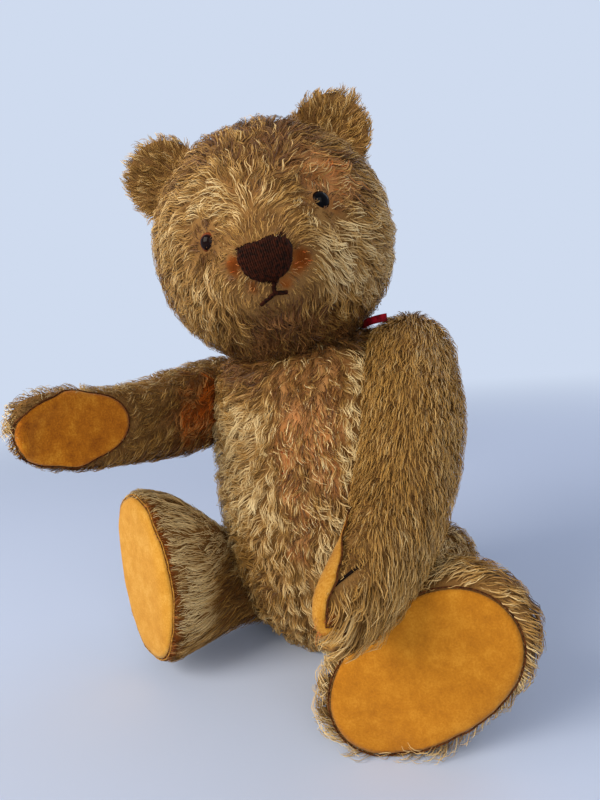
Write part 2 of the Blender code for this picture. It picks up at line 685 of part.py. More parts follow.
def make_ears(finishes, joint):
    """Two cupped ears, each seated on the head along its base."""
    middle = Vector((0, 0, HEAD_HEIGHT))
    for name, side in SIDES.items():
        up = EAR_ANGLE[name]
        outward = Vector((side * math.cos(up), 0, math.sin(up)))
        along = Vector((-side * math.sin(up), 0, math.cos(up)))

        def place(u, angle):
            reach = math.sin(math.pi * u)
            x, z = math.cos(angle) * reach, math.sin(angle) * reach
            cup = EAR_CUP * (1 - x * x - z * z)
            depth = EAR_BACK + cup - EAR_THICK * math.cos(math.pi * u)
            flat = outward * (EAR_REACH[name] + EAR_RADIUS * x) + along * EAR_RADIUS * z
            point = flat + Vector((0, depth, 0))
            least = head_radius(point.normalized()) + GAP + EAR_ROOT * (1 + math.cos(math.pi * u)) / 2
            return middle + point.normalized() * max(point.length, least)
        to_object(f"{name}_ear", pulled_sphere(16, 8, place), finishes["mohair"], joint)


def make_head(finishes, torso, torso_skin):
    """Head with its face and ears on the neck joint."""
    pivot = Matrix.Translation((0, NECK_BACK, NECK_HEIGHT))
    joint = empty("neck", pivot @ neck_tip() @ Matrix.Rotation(HEAD_TURN, 4, "Z"), torso)
    flat = [seat_above(Vector((0, 0, 0)), Vector((0, 0, 1)))]
    skin = sewn_skin("head", lambda depth: shrunk(head_shape(), depth, flat), finishes, joint)
    make_eyes(finishes, joint, skin)
    make_nose(finishes, joint)
    make_mouth(finishes, joint)
    make_ears(finishes, joint)
    fit_joint("neck", joint, NECK_DISC, skin, torso_skin, finishes)


def make_ribbon(finishes, torso):
    """What is left of the neck ribbon, lying round the nape in the crease under the head."""
    curve = bpy.data.curves.new("neck_ribbon", "CURVE")
    curve.dimensions = "3D"
    curve.twist_mode = "Z_UP"
    curve.extrude = RIBBON_HALF_WIDTH - RIBBON_HALF_THICK
    curve.bevel_depth = RIBBON_HALF_THICK
    curve.bevel_resolution = 0
    curve.use_fill_caps = True
    spline = curve.splines.new("POLY")
    spline.points.add(len(RIBBON_ROUTE) - 1)
    for point, place in zip(spline.points, RIBBON_ROUTE):
        point.co = (*place, 1.0)
    curve.materials.append(finishes["ribbon"])
    made = bpy.data.objects.new("neck_ribbon", curve)
    made.parent = empty("neck_seat", Matrix.Translation((0, NECK_BACK, NECK_HEIGHT)) @ neck_tip(), torso)
    bpy.context.collection.objects.link(made)


# ---- the bear -----------------------------------------------------------------------------
def main():
    """Clear the scene and build the bear."""
    for item in list(bpy.data.objects):
        bpy.data.objects.remove(item)
    finishes = {
        "mohair": material("mohair", (0.36, 0.25, 0.12), 0.9),
        "wood_wool": material("wood_wool", (0.62, 0.50, 0.30), 0.95),
        "felt": material("felt", (0.64, 0.33, 0.06), 0.95),
        "fibreboard": material("fibreboard", (0.30, 0.19, 0.10), 0.8),
        "steel": material("steel", (0.55, 0.55, 0.55), 0.4, 1.0),
        "glass": material("glass", (0.06, 0.03, 0.015), 0.08),
        "thread": material("thread", (0.045, 0.022, 0.012), 0.7),
        "ribbon": material("ribbon", (0.35, 0.02, 0.02), 0.6),
    }
    lean = (Matrix.Rotation(-LEAN_RIGHT, 4, "Y") @ Matrix.Rotation(LEAN_FORWARD, 4, "X"))
    torso = empty("torso", Matrix.Translation(CENTRE_SHIFT) @ lean)
    torso_skin = make_torso(finishes, torso)
    for name in SIDES:
        make_arm(name, finishes, torso, torso_skin)
        make_leg(name, finishes, torso, torso_skin)
    make_head(finishes, torso, torso_skin)
    make_ribbon(finishes, torso)


main()
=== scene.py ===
"""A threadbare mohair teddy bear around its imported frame.

Cloth skins, pile in wavy locks, felt pads, glass eyes, an embroidered nose and mouth and a scrap
of ribbon. Units are metres, +Z is up, the bear's front looks along -Y, its own left is +X.
"""

import json
import logging
import math
from dataclasses import dataclass
from enum import Enum
from typing import Callable, Iterable, Sequence

import bmesh
import bpy
import numpy as np
from mathutils import Matrix, Vector
from mathutils.bvhtree import BVHTree
from mathutils.kdtree import KDTree


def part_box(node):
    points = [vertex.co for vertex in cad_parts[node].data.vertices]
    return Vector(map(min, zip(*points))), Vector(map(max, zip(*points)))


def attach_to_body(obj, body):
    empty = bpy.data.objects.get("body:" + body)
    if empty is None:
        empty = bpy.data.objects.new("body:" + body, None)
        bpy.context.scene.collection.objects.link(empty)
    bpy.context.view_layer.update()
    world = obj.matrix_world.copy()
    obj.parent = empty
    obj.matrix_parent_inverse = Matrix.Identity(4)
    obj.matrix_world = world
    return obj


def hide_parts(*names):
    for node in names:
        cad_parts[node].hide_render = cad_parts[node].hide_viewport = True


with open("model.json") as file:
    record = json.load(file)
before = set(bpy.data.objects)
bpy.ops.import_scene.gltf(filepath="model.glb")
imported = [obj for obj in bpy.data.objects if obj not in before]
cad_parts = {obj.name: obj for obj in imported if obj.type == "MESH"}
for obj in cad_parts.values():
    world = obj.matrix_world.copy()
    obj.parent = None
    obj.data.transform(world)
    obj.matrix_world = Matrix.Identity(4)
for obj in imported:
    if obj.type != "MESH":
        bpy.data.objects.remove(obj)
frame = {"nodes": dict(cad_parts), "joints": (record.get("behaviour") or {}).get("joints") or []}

LOG = logging.getLogger("teddy_bear")
Array = np.ndarray
PILE_MAP = "OFBake"          # the pile's UV map: across it the tone, along it root to tip


class Side(Enum):
    """Which of a pair, by the bear's own right and left."""

    RIGHT = "right"
    LEFT = "left"


class Tone(float, Enum):
    """Places across the pile's map, from one colour of hair to the next."""

    RUST = 0.0
    TAN = 0.18
    BROWN = 0.40
    HONEY = 0.66
    CREAM = 1.0


# ---- small tools ----------------------------------------------------------------------------
def linear(code: str) -> tuple[float, float, float, float]:
    """Turn an sRGB hex colour into linear RGBA.

    Args:
        code: six hex digits, such as "a97024".

    Returns:
        The colour in linear light with full alpha.
    """
    parts = [int(code[i:i + 2], 16) / 255 for i in (0, 2, 4)]
    bright = [p / 12.92 if p <= 0.04045 else ((p + 0.055) / 1.055) ** 2.4 for p in parts]
    return (*bright, 1.0)


def add_node(tree: bpy.types.NodeTree, kind: str, links: dict | None = None,
             **settings: object) -> bpy.types.Node:
    """Add a shader node with its settings and links.

    Args:
        tree: the node tree that it joins.
        kind: Blender's name of the node type, without its ShaderNode prefix.
        links: input name or index to the output socket that feeds it.
        settings: a property of the node, or a value of one of its inputs (spaces as "_").

    Returns:
        The new node.
    """
    node = tree.nodes.new("ShaderNode" + kind)
    for name, value in settings.items():
        if hasattr(node, name):
            setattr(node, name, value)
        else:
            node.inputs[name.replace("_", " ")].default_value = value
    for name, output in (links or {}).items():
        tree.links.new(output, node.inputs[name])
    return node


def add_ramp(tree: bpy.types.NodeTree, factor: bpy.types.NodeSocket,
             stops: Sequence[tuple[float, str]]) -> bpy.types.NodeSocket:
    """Add a colour ramp.

    Args:
        tree: the node tree that it joins.
        factor: the socket that drives it.
        stops: place from 0 to 1 and sRGB hex colour of each stop.

    Returns:
        The ramp's colour output.
    """
    node = add_node(tree, "ValToRGB", {"Fac": factor})
    ramp = node.color_ramp
    while len(ramp.elements) < len(stops):
        ramp.elements.new(0.5)
    for element, (place, code) in zip(ramp.elements, stops):
        element.position = place
        element.color = linear(code)
    return node.outputs["Color"]


def start_material(name: str) -> tuple[bpy.types.Material, bpy.types.NodeTree, bpy.types.Node]:
    """Make a material with its Principled shader.

    Args:
        name: what the material really is.

    Returns:
        The material, its node tree and its shader.
    """
    material = bpy.data.materials.new(name)
    material.use_nodes = True
    tree = material.node_tree
    return material, tree, tree.nodes["Principled BSDF"]


def add_mix(tree: bpy.types.NodeTree, share: bpy.types.NodeSocket, low: bpy.types.NodeSocket,
            high: bpy.types.NodeSocket) -> bpy.types.NodeSocket:
    """Mix two colours, the second as far as share says."""
    mix = add_node(tree, "Mix", data_type="RGBA")
    for socket, output in (("Factor", share), (6, low), (7, high)):
        tree.links.new(output, mix.inputs[socket])
    return mix.outputs[2]


def add_math(tree: bpy.types.NodeTree, operation: str, value: bpy.types.NodeSocket,
             by: float) -> bpy.types.NodeSocket:
    """Work a value and a number together."""
    node = add_node(tree, "Math", {0: value}, operation=operation)
    node.inputs[1].default_value = by
    return node.outputs[0]


def add_bump(tree: bpy.types.NodeTree, shader: bpy.types.Node, height: bpy.types.NodeSocket,
             strength: float, depth: float) -> None:
    """Give a shader a bump.

    Args:
        tree: the shader's node tree.
        shader: the shader.
        height: the pattern's height.
        strength: share of it that shows.
        depth: its height in metres.
    """
    bump = add_node(tree, "Bump", {"Height": height}, Strength=strength, Distance=depth)
    tree.links.new(bump.outputs["Normal"], shader.inputs["Normal"])


def set_inputs(shader: bpy.types.Node, **values: float | tuple) -> None:
    """Set a shader's inputs, whose spaces are written as "_"."""
    for name, value in values.items():
        shader.inputs[name.replace("_", " ")].default_value = value


def smooth_step(value: Array, low: float, high: float) -> Array:
    """Smooth rise from 0 at low to 1 at high, or a fall where low is above high."""
    t = np.clip((value - low) / (high - low), 0, 1)
    return t * t * (3 - 2 * t)


def ripple(points: Array, size: float, seed: float = 0.0) -> Array:
    """Smooth unevenness from about -1 to 1 over space.

    Args:
        points: where it is asked.
        size: distance from one hump to the next.
        seed: shifts the pattern.

    Returns:
        One value for each point.
    """
    k = 2 * math.pi / size
    x, y, z = (points[:, i] * k for i in range(3))
    first = np.sin(x + 1.7 * np.sin(0.6 * y + seed) + seed)
    second = np.sin(0.9 * y + 1.5 * np.sin(0.7 * z + 2 * seed) + 1.3)
    third = np.sin(1.1 * z + 1.6 * np.sin(0.5 * x - seed) + 2.1)
    return (first + second + third) / 2.2


def unit(vectors: Array) -> Array:
    """Vectors along the last axis, brought to length 1."""
    return vectors / np.maximum(np.linalg.norm(vectors, axis=-1, keepdims=True), 1e-12)


def flatten(vectors: Array, normals: Array) -> Array:
    """Unit vectors with their part along the normals taken out."""
    return unit(vectors - normals * np.sum(vectors * normals, axis=-1, keepdims=True))


def vertex_array(mesh: bpy.types.Mesh) -> Array:
    """Places of a mesh's vertices, one row each."""
    places = np.empty(len(mesh.vertices) * 3, np.float32)
    mesh.vertices.foreach_get("co", places)
    return places.reshape(-1, 3).astype(float)


def new_piece(name: str, mesh: bpy.types.Mesh, material: bpy.types.Material) -> bpy.types.Object:
    """Link a mesh as a smooth-shaded piece.

    Args:
        name: the piece's name.
        mesh: its mesh, in the row frame.
        material: its finish.

    Returns:
        The new object.
    """
    mesh.name = name
    mesh.materials.clear()
    mesh.materials.append(material)
    mesh.shade_smooth()
    piece = bpy.data.objects.new(name, mesh)
    bpy.context.scene.collection.objects.link(piece)
    return piece


def finished(bm: bmesh.types.BMesh) -> bpy.types.Mesh:
    """Turn a bmesh into a mesh and free it."""
    mesh = bpy.data.meshes.new("shape")
    bm.to_mesh(mesh)
    bm.free()
    return mesh


def search_tree(*meshes: bpy.types.Mesh) -> BVHTree:
    """A tree that finds nearest places and ray hits on meshes."""
    bm = bmesh.new()
    for mesh in meshes:
        bm.from_mesh(mesh)
    tree = BVHTree.FromBMesh(bm)
    bm.free()
    return tree


def attach(piece: bpy.types.Object, body: str, stands_for: str = "") -> None:
    """Give a piece its place in the part.

    Args:
        piece: the piece.
        body: the CAD body that it rides on.
        stands_for: the CAD node that it replaces, if any.
    """
    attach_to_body(piece, body)
    if stands_for:
        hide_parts(stands_for)
    LOG.info("%s: rides on %s, %d faces", piece.name, body, len(piece.data.polygons))


def plain_mesh(data: bpy.types.ID,
               add: Callable[[bpy.types.Object], None] | None = None) -> bpy.types.Mesh:
    """Turn a curve, or a mesh with modifiers, into a plain mesh.

    Args:
        data: the curve or mesh to start from.
        add: a function that puts the modifiers on a passing object.

    Returns:
        The finished mesh.
    """
    passing = bpy.data.objects.new("passing", data)
    bpy.context.scene.collection.objects.link(passing)
    if add is not None:
        add(passing)
    graph = bpy.context.evaluated_depsgraph_get()
    graph.update()
    changed = bpy.data.meshes.new_from_object(passing.evaluated_get(graph))
    bpy.data.objects.remove(passing)
    return changed


def cad_mesh(node: str) -> bpy.types.Mesh:
    """Mesh of a CAD node, which is only read."""
    return frame["nodes"][node].data


def merged_copy(node: str) -> bmesh.types.BMesh:
    """A CAD node's mesh with its doubles merged."""
    bm = bmesh.new()
    bm.from_mesh(cad_mesh(node))
    bmesh.ops.remove_doubles(bm, verts=bm.verts[:], dist=1e-6)
    return bm


def tubes(paths: Iterable[Sequence[Vector]], radius: float, sides: int = 2) -> bpy.types.Mesh:
    """Round threads along paths.

    Args:
        paths: the points of each thread.
        radius: half the thread's thickness.
        sides: the curve's bevel resolution.

    Returns:
        A mesh of all threads with closed ends.
    """
    curve = bpy.data.curves.new("threads", "CURVE")
    curve.dimensions = "3D"
    curve.bevel_depth = radius
    curve.bevel_resolution = sides
    curve.use_fill_caps = True
    for path in paths:
        spline = curve.splines.new("POLY")
        spline.points.add(len(path) - 1)
        for point, place in zip(spline.points, path):
            point.co = (*place, 1.0)
    return plain_mesh(curve)


# ---- finishes -------------------------------------------------------------------------------
@dataclass(frozen=True)
class MohairPile:
    """Mohair pile, whose map has the tones across it and runs from root to tip along it."""

    name: str = "mohair pile"
    # roots are painted darker than tips: painted shade deep in the pile
    roots: tuple = ((Tone.RUST, "842e00"), (Tone.TAN, "8a5a2a"), (Tone.BROWN, "2a1003"),
                    (Tone.HONEY, "80592a"), (Tone.CREAM, "b8965c"))
    tips: tuple = ((Tone.RUST, "c05e0c"), (Tone.TAN, "bc864a"), (Tone.BROWN, "522a07"),
                   (Tone.HONEY, "b88e48"), (Tone.CREAM, "f0dca8"))
    roughness: float = 0.46
    rise: float = 0.6            # below 1 the tip's colour starts nearer to the root

    def material(self) -> bpy.types.Material:
        """Goat hair is clear and lustrous: darker roots are painted shade deep in the pile, and the
        paler wave tops in its tones are a painted highlight.
        """
        material, tree, shader = start_material(self.name)
        uv = add_node(tree, "UVMap", uv_map=PILE_MAP)
        split = add_node(tree, "SeparateXYZ", {"Vector": uv.outputs["UV"]})
        colour = add_mix(tree, add_math(tree, "POWER", split.outputs["Y"], self.rise),
                         add_ramp(tree, split.outputs["X"], self.roots),
                         add_ramp(tree, split.outputs["X"], self.tips))
        tree.links.new(colour, shader.inputs["Base Color"])
        set_inputs(shader, Roughness=self.roughness, Specular_IOR_Level=0.2, Sheen_Weight=0.06,
                   Sheen_Tint=linear("ffe6bc"))
        return material


@dataclass(frozen=True)
class BackingCloth:
    """Cotton backing of the mohair, tan where it shows bare and darker under the pile, a painted shade
    between the roots.
    """

    name: str = "woven cotton backing"
    thread: float = 0.0007       # thread spacing of the weave
    stain: float = 0.0105        # from one stain to the next

    def material(self) -> bpy.types.Material:
        """A plain weave, drawn a little coarse so that it shows, with stains and rusty rubs."""
        material, tree, shader = start_material(self.name)
        place = add_node(tree, "TexCoord").outputs["Object"]
        worn = add_node(tree, "Attribute", attribute_name="worn").outputs["Fac"]
        blotch = add_node(tree, "TexNoise", {"Vector": place}, Scale=1 / self.stain,
                          Detail=5.0)
        bare = add_ramp(tree, blotch.outputs["Fac"],
                        ((0.3, "8a5628"), (0.5, "a87242"), (0.7, "ba8656")))
        # darker cloth under the pile: painted shade between the roots
        shaded_under_pile = add_ramp(tree, blotch.outputs["Fac"],
                          ((0.3, "644624"), (0.5, "7a5830"), (0.7, "8a683c")))
        rusty = add_ramp(tree, blotch.outputs["Fac"],
                         ((0.3, "4e2404"), (0.5, "703508"), (0.7, "844412")))
        colour = add_mix(tree, worn, shaded_under_pile, bare)
        colour = add_mix(tree, add_math(tree, "MULTIPLY", worn, -1.0), colour, rusty)
        tree.links.new(colour, shader.inputs["Base Color"])
        weave = add_node(tree, "TexVoronoi", {"Vector": place}, Scale=1 / self.thread)
        add_bump(tree, shader, weave.outputs["Distance"], strength=0.5, depth=0.0004)
        set_inputs(shader, Roughness=0.9, Specular_IOR_Level=0.1)
        return material


@dataclass(frozen=True)
class WoolFelt:
    """Pressed wool felt, mottled, darker where it is rubbed."""

    name: str
    dark: str
    middle: str
    light: str
    mottling: float = 0.0077     # from one blotch to the next
    fibre: float = 0.00067       # wool is far finer: drawn this coarse so that it shows

    def material(self) -> bpy.types.Material:
        """Matte and fuzzy: broad mottling, a fine grain of fibres and a soft sheen at its edge."""
        material, tree, shader = start_material(self.name)
        place = add_node(tree, "TexCoord").outputs["Object"]
        mottle = add_node(tree, "TexNoise", {"Vector": place}, Scale=1 / self.mottling,
                          Detail=8.0, Roughness=0.68)
        fibre = add_node(tree, "TexNoise", {"Vector": place}, Scale=1 / self.fibre,
                         Detail=3.0)
        both = add_node(tree, "Mix", data_type="FLOAT")
        both.inputs["Factor"].default_value = 0.35
        tree.links.new(mottle.outputs["Fac"], both.inputs[2])
        tree.links.new(fibre.outputs["Fac"], both.inputs[3])
        colour = add_ramp(tree, both.outputs[0],
                          ((0.33, self.dark), (0.5, self.middle), (0.66, self.light)))
        tree.links.new(colour, shader.inputs["Base Color"])
        add_bump(tree, shader, fibre.outputs["Fac"], strength=0.45, depth=0.0004)
        set_inputs(shader, Roughness=0.95, Specular_IOR_Level=0.2, Sheen_Weight=0.06)
        return material


@dataclass(frozen=True)
class EyeGlass:
    """Solid glass eye, backed with colour."""

    name: str
    pupil: str
    ring: str

    def material(self) -> bpy.types.Material:
        """Polished glass: a small sharp glint over a near-black middle and a warmer rim."""
        material, tree, shader = start_material(self.name)
        rim = add_node(tree, "Attribute", attribute_name="rim").outputs["Fac"]
        colour = add_ramp(tree, rim, ((0.32, self.pupil), (0.5, self.ring), (1.0, self.pupil)))
        tree.links.new(colour, shader.inputs["Base Color"])
        set_inputs(shader, Roughness=0.05, Specular_IOR_Level=0.07)
        return material


@dataclass(frozen=True)
class CottonThread:
    """Embroidery thread, twisted and dull with handling."""

    name: str
    dark: str
    light: str
    strand: float = 0.00111      # cotton strands are finer: drawn this coarse so that they show

    def material(self) -> bpy.types.Material:
        """Fine twisted strands in short broken lines: the light tone is a painted highlight where they
        catch the light.
        """
        material, tree, shader = start_material(self.name)
        place = add_node(tree, "TexCoord").outputs["Object"]
        strands = add_node(tree, "TexNoise", {"Vector": place}, Scale=1 / self.strand,
                           Detail=3.0)
        colour = add_ramp(tree, strands.outputs["Fac"], ((0.35, self.dark), (0.65, self.light)))
        tree.links.new(colour, shader.inputs["Base Color"])
        add_bump(tree, shader, strands.outputs["Fac"], strength=0.4, depth=0.0002)
        set_inputs(shader, Roughness=0.7, Specular_IOR_Level=0.08)
        return material


@dataclass(frozen=True)
class SatinRibbon:
    """Crimson satin ribbon, faded along its folds."""

    name: str = "crimson satin"
    faded: float = 0.00455       # from one faded stretch to the next

    def material(self) -> bpy.types.Material:
        """Smooth floats of thread: a soft stripe of light along the folds."""
        material, tree, shader = start_material(self.name)
        place = add_node(tree, "TexCoord").outputs["Object"]
        fade = add_node(tree, "TexNoise", {"Vector": place}, Scale=1 / self.faded,
                        Detail=4.0)
        colour = add_ramp(tree, fade.outputs["Fac"], ((0.35, "52040c"), (0.65, "960f20")))
        tree.links.new(colour, shader.inputs["Base Color"])
        set_inputs(shader, Roughness=0.42, Specular_IOR_Level=0.2)
        return material


@dataclass(frozen=True)
class InnerStuff:
    """Grainy finish of the sealed inner pieces: wood shavings, pressed board, drawn steel."""

    name: str
    dark: str
    light: str
    grain: float
    roughness: float
    metallic: float = 0.0

    def material(self) -> bpy.types.Material:
        """Fine grain in two tones of the same stuff."""
        material, tree, shader = start_material(self.name)
        place = add_node(tree, "TexCoord").outputs["Object"]
        grain = add_node(tree, "TexNoise", {"Vector": place}, Scale=1 / self.grain, Detail=4.0)
        colour = add_ramp(tree, grain.outputs["Fac"], ((0.35, self.dark), (0.65, self.light)))
        tree.links.new(colour, shader.inputs["Base Color"])
        set_inputs(shader, Roughness=self.roughness, Metallic=self.metallic)
        return material


PILE = MohairPile().material()
BACKING = BackingCloth().material()


# ---- pile -----------------------------------------------------------------------------------
@dataclass
class Coat:
    """What the pile does at each of a set of points on the cloth."""

    flow: Array          # where the locks lie
    length: Array        # of a lock
    height: Array        # of its middle above the cloth
    wave: Array          # how far it swings from side to side
    density: Array       # share of the full number of hairs
    tone: Array          # a Tone, or a place between two of them
    clump: Array         # how far a lock's hairs close up to its tip
    worn: Array          # the cloth: -1 rusty, 0 rooted, 1 rubbed bare
    stray: Array         # how unevenly the locks lie, in radians
    crest: Array         # distance along the locks, which lines up their waves

    def blend(self, share: Array, **values: float) -> None:
        """Bring the named properties to new values, as far as share says."""
        for name, value in values.items():
            old = getattr(self, name)
            setattr(self, name, old + (value - old) * share)

    def add(self, share: Array, **values: float) -> None:
        """Add to the named properties, as far as share says."""
        for name, value in values.items():
            setattr(self, name, getattr(self, name) + value * share)

    def keep_off(self, away: Array, length: tuple, height: tuple) -> None:
        """Shorten and flatten the pile beside a piece, so that it doesn't hide it.

        Args:
            away: distance to the piece.
            length: longest lock right beside it, and how much it gains with distance.
            height: the same for a lock's height.
        """
        self.length = np.minimum(self.length, length[0] + length[1] * away)
        self.height = np.minimum(self.height, height[0] + height[1] * away)

    def seat(self, points: Array, place: Array, bare: float, full: float) -> None:
        """Leave out the pile round a joint, from a bare radius to one where it is full again."""
        self.density *= smooth_step(np.linalg.norm(points - place, axis=1), bare, full)

    def patch(self, points: Array, middle: Array, radius: float, **values: float) -> None:
        """Blend values in round a place, with an uneven edge.

        Args:
            points: where the coat is known.
            middle: middle of the patch.
            radius: reach of the patch; its inner half is fully changed.
            values: new value of each named property.
        """
        away = np.linalg.norm(points - middle, axis=1)
        away = away + ripple(points, 0.011, middle[0] * 900) * radius * 0.22
        self.blend(smooth_step(away, radius * 1.15, radius * 0.4), **values)


@dataclass
class Skin:
    """Outer cloth surface of one part, ready to carry pile."""

    name: str
    body: str
    voxel: float = 0.0036
    pressure: float = 4.0
    cap: float = 0.0012          # how far the stuffing may push the cloth out
    frames: int = 16
    wall: float = 0.0021         # faces this near to the stuffing are the cover's inner wall
    thinning: float = 0.56       # share of the faces that is kept at the end
    sewn: float = 0.05           # pile thinner than this marks cloth that is sewn or seated

    def stuff(self, mesh: bpy.types.Mesh, held: Array) -> None:
        """Press the stuffing against the cloth and keep the result in the mesh.

        Args:
            mesh: the skin, changed in place.
            held: which vertices are sewn or seated and stay put.
        """
        before = vertex_array(mesh)
        passing = bpy.data.objects.new("stuffed", mesh)
        bpy.context.scene.collection.objects.link(passing)
        group = passing.vertex_groups.new(name="held")
        group.add(np.flatnonzero(held).tolist(), 1.0, "REPLACE")
        cloth = passing.modifiers.new("cloth", "CLOTH")
        cloth.settings.use_pressure = True
        cloth.settings.uniform_pressure_force = self.pressure
        cloth.settings.vertex_group_mass = group.name
        cloth.settings.effector_weights.gravity = 0
        cloth.settings.quality = 4
        scene = bpy.context.scene
        for number in range(1, self.frames + 1):
            scene.frame_set(number)
        graph = bpy.context.evaluated_depsgraph_get()
        moved = vertex_array(passing.evaluated_get(graph).data)
        bpy.data.objects.remove(passing)
        scene.frame_set(1)
        shift = moved - before
        far = np.linalg.norm(shift, axis=1, keepdims=True)
        shift *= np.minimum(1, self.cap / np.maximum(far, 1e-9))
        mesh.vertices.foreach_set("co", (before + shift).astype(np.float32).ravel())
        mesh.update()

    def build(self, coat: Callable[[Array, Array], Coat]) -> bpy.types.Object:
        """Take the cover's outer surface, close it, round it and dress it.

        Args:
            coat: what the pile does, which says where the cloth is bare.

        Returns:
            The skin as a piece that replaces its CAD cover.
        """
        bm = merged_copy(f"{self.name}_cover")
        inner = merged_copy(f"{self.name}_stuffing")
        tree = BVHTree.FromBMesh(inner)
        inside = [f for f in bm.faces if tree.find_nearest(f.calc_center_median())[3] < self.wall]
        bmesh.ops.delete(bm, geom=inside, context="FACES")
        loose = [v for v in bm.verts if not v.link_faces]
        bmesh.ops.delete(bm, geom=loose, context="VERTS")
        edges = [e for e in bm.edges if len(e.link_faces) == 1]
        bmesh.ops.holes_fill(bm, edges=edges, sides=0)
        bmesh.ops.recalc_face_normals(bm, faces=bm.faces[:])
        inner.free()

        def rounding(passing: bpy.types.Object) -> None:
            """Even out the faces and soften the edges."""
            remesh = passing.modifiers.new("even", "REMESH")
            remesh.mode = "VOXEL"
            remesh.voxel_size = self.voxel
            soft = passing.modifiers.new("soft", "SMOOTH")
            soft.factor = 0.5
            soft.iterations = 4

        def smoothing(passing: bpy.types.Object) -> None:
            """One level of subdivision, thinned again where the cloth is flat."""
            smooth = passing.modifiers.new("smooth", "SUBSURF")
            smooth.levels = smooth.render_levels = 1
            passing.modifiers.new("thin", "DECIMATE").ratio = self.thinning

        mesh = plain_mesh(finished(bm), rounding)
        normals = np.array([normal.vector[:] for normal in mesh.vertex_normals])
        self.stuff(mesh, coat(vertex_array(mesh), normals).density < self.sewn)
        mesh = plain_mesh(mesh, smoothing)
        piece = new_piece(f"{self.name}_skin", mesh, BACKING)
        normals = np.array([normal.vector[:] for normal in mesh.vertex_normals])
        bare = coat(vertex_array(mesh), normals).worn
        worn = mesh.attributes.new("worn", "FLOAT", "POINT")
        worn.data.foreach_set("value", bare.astype(np.float32))
        attach(piece, self.body, f"{self.name}_cover")
        return piece


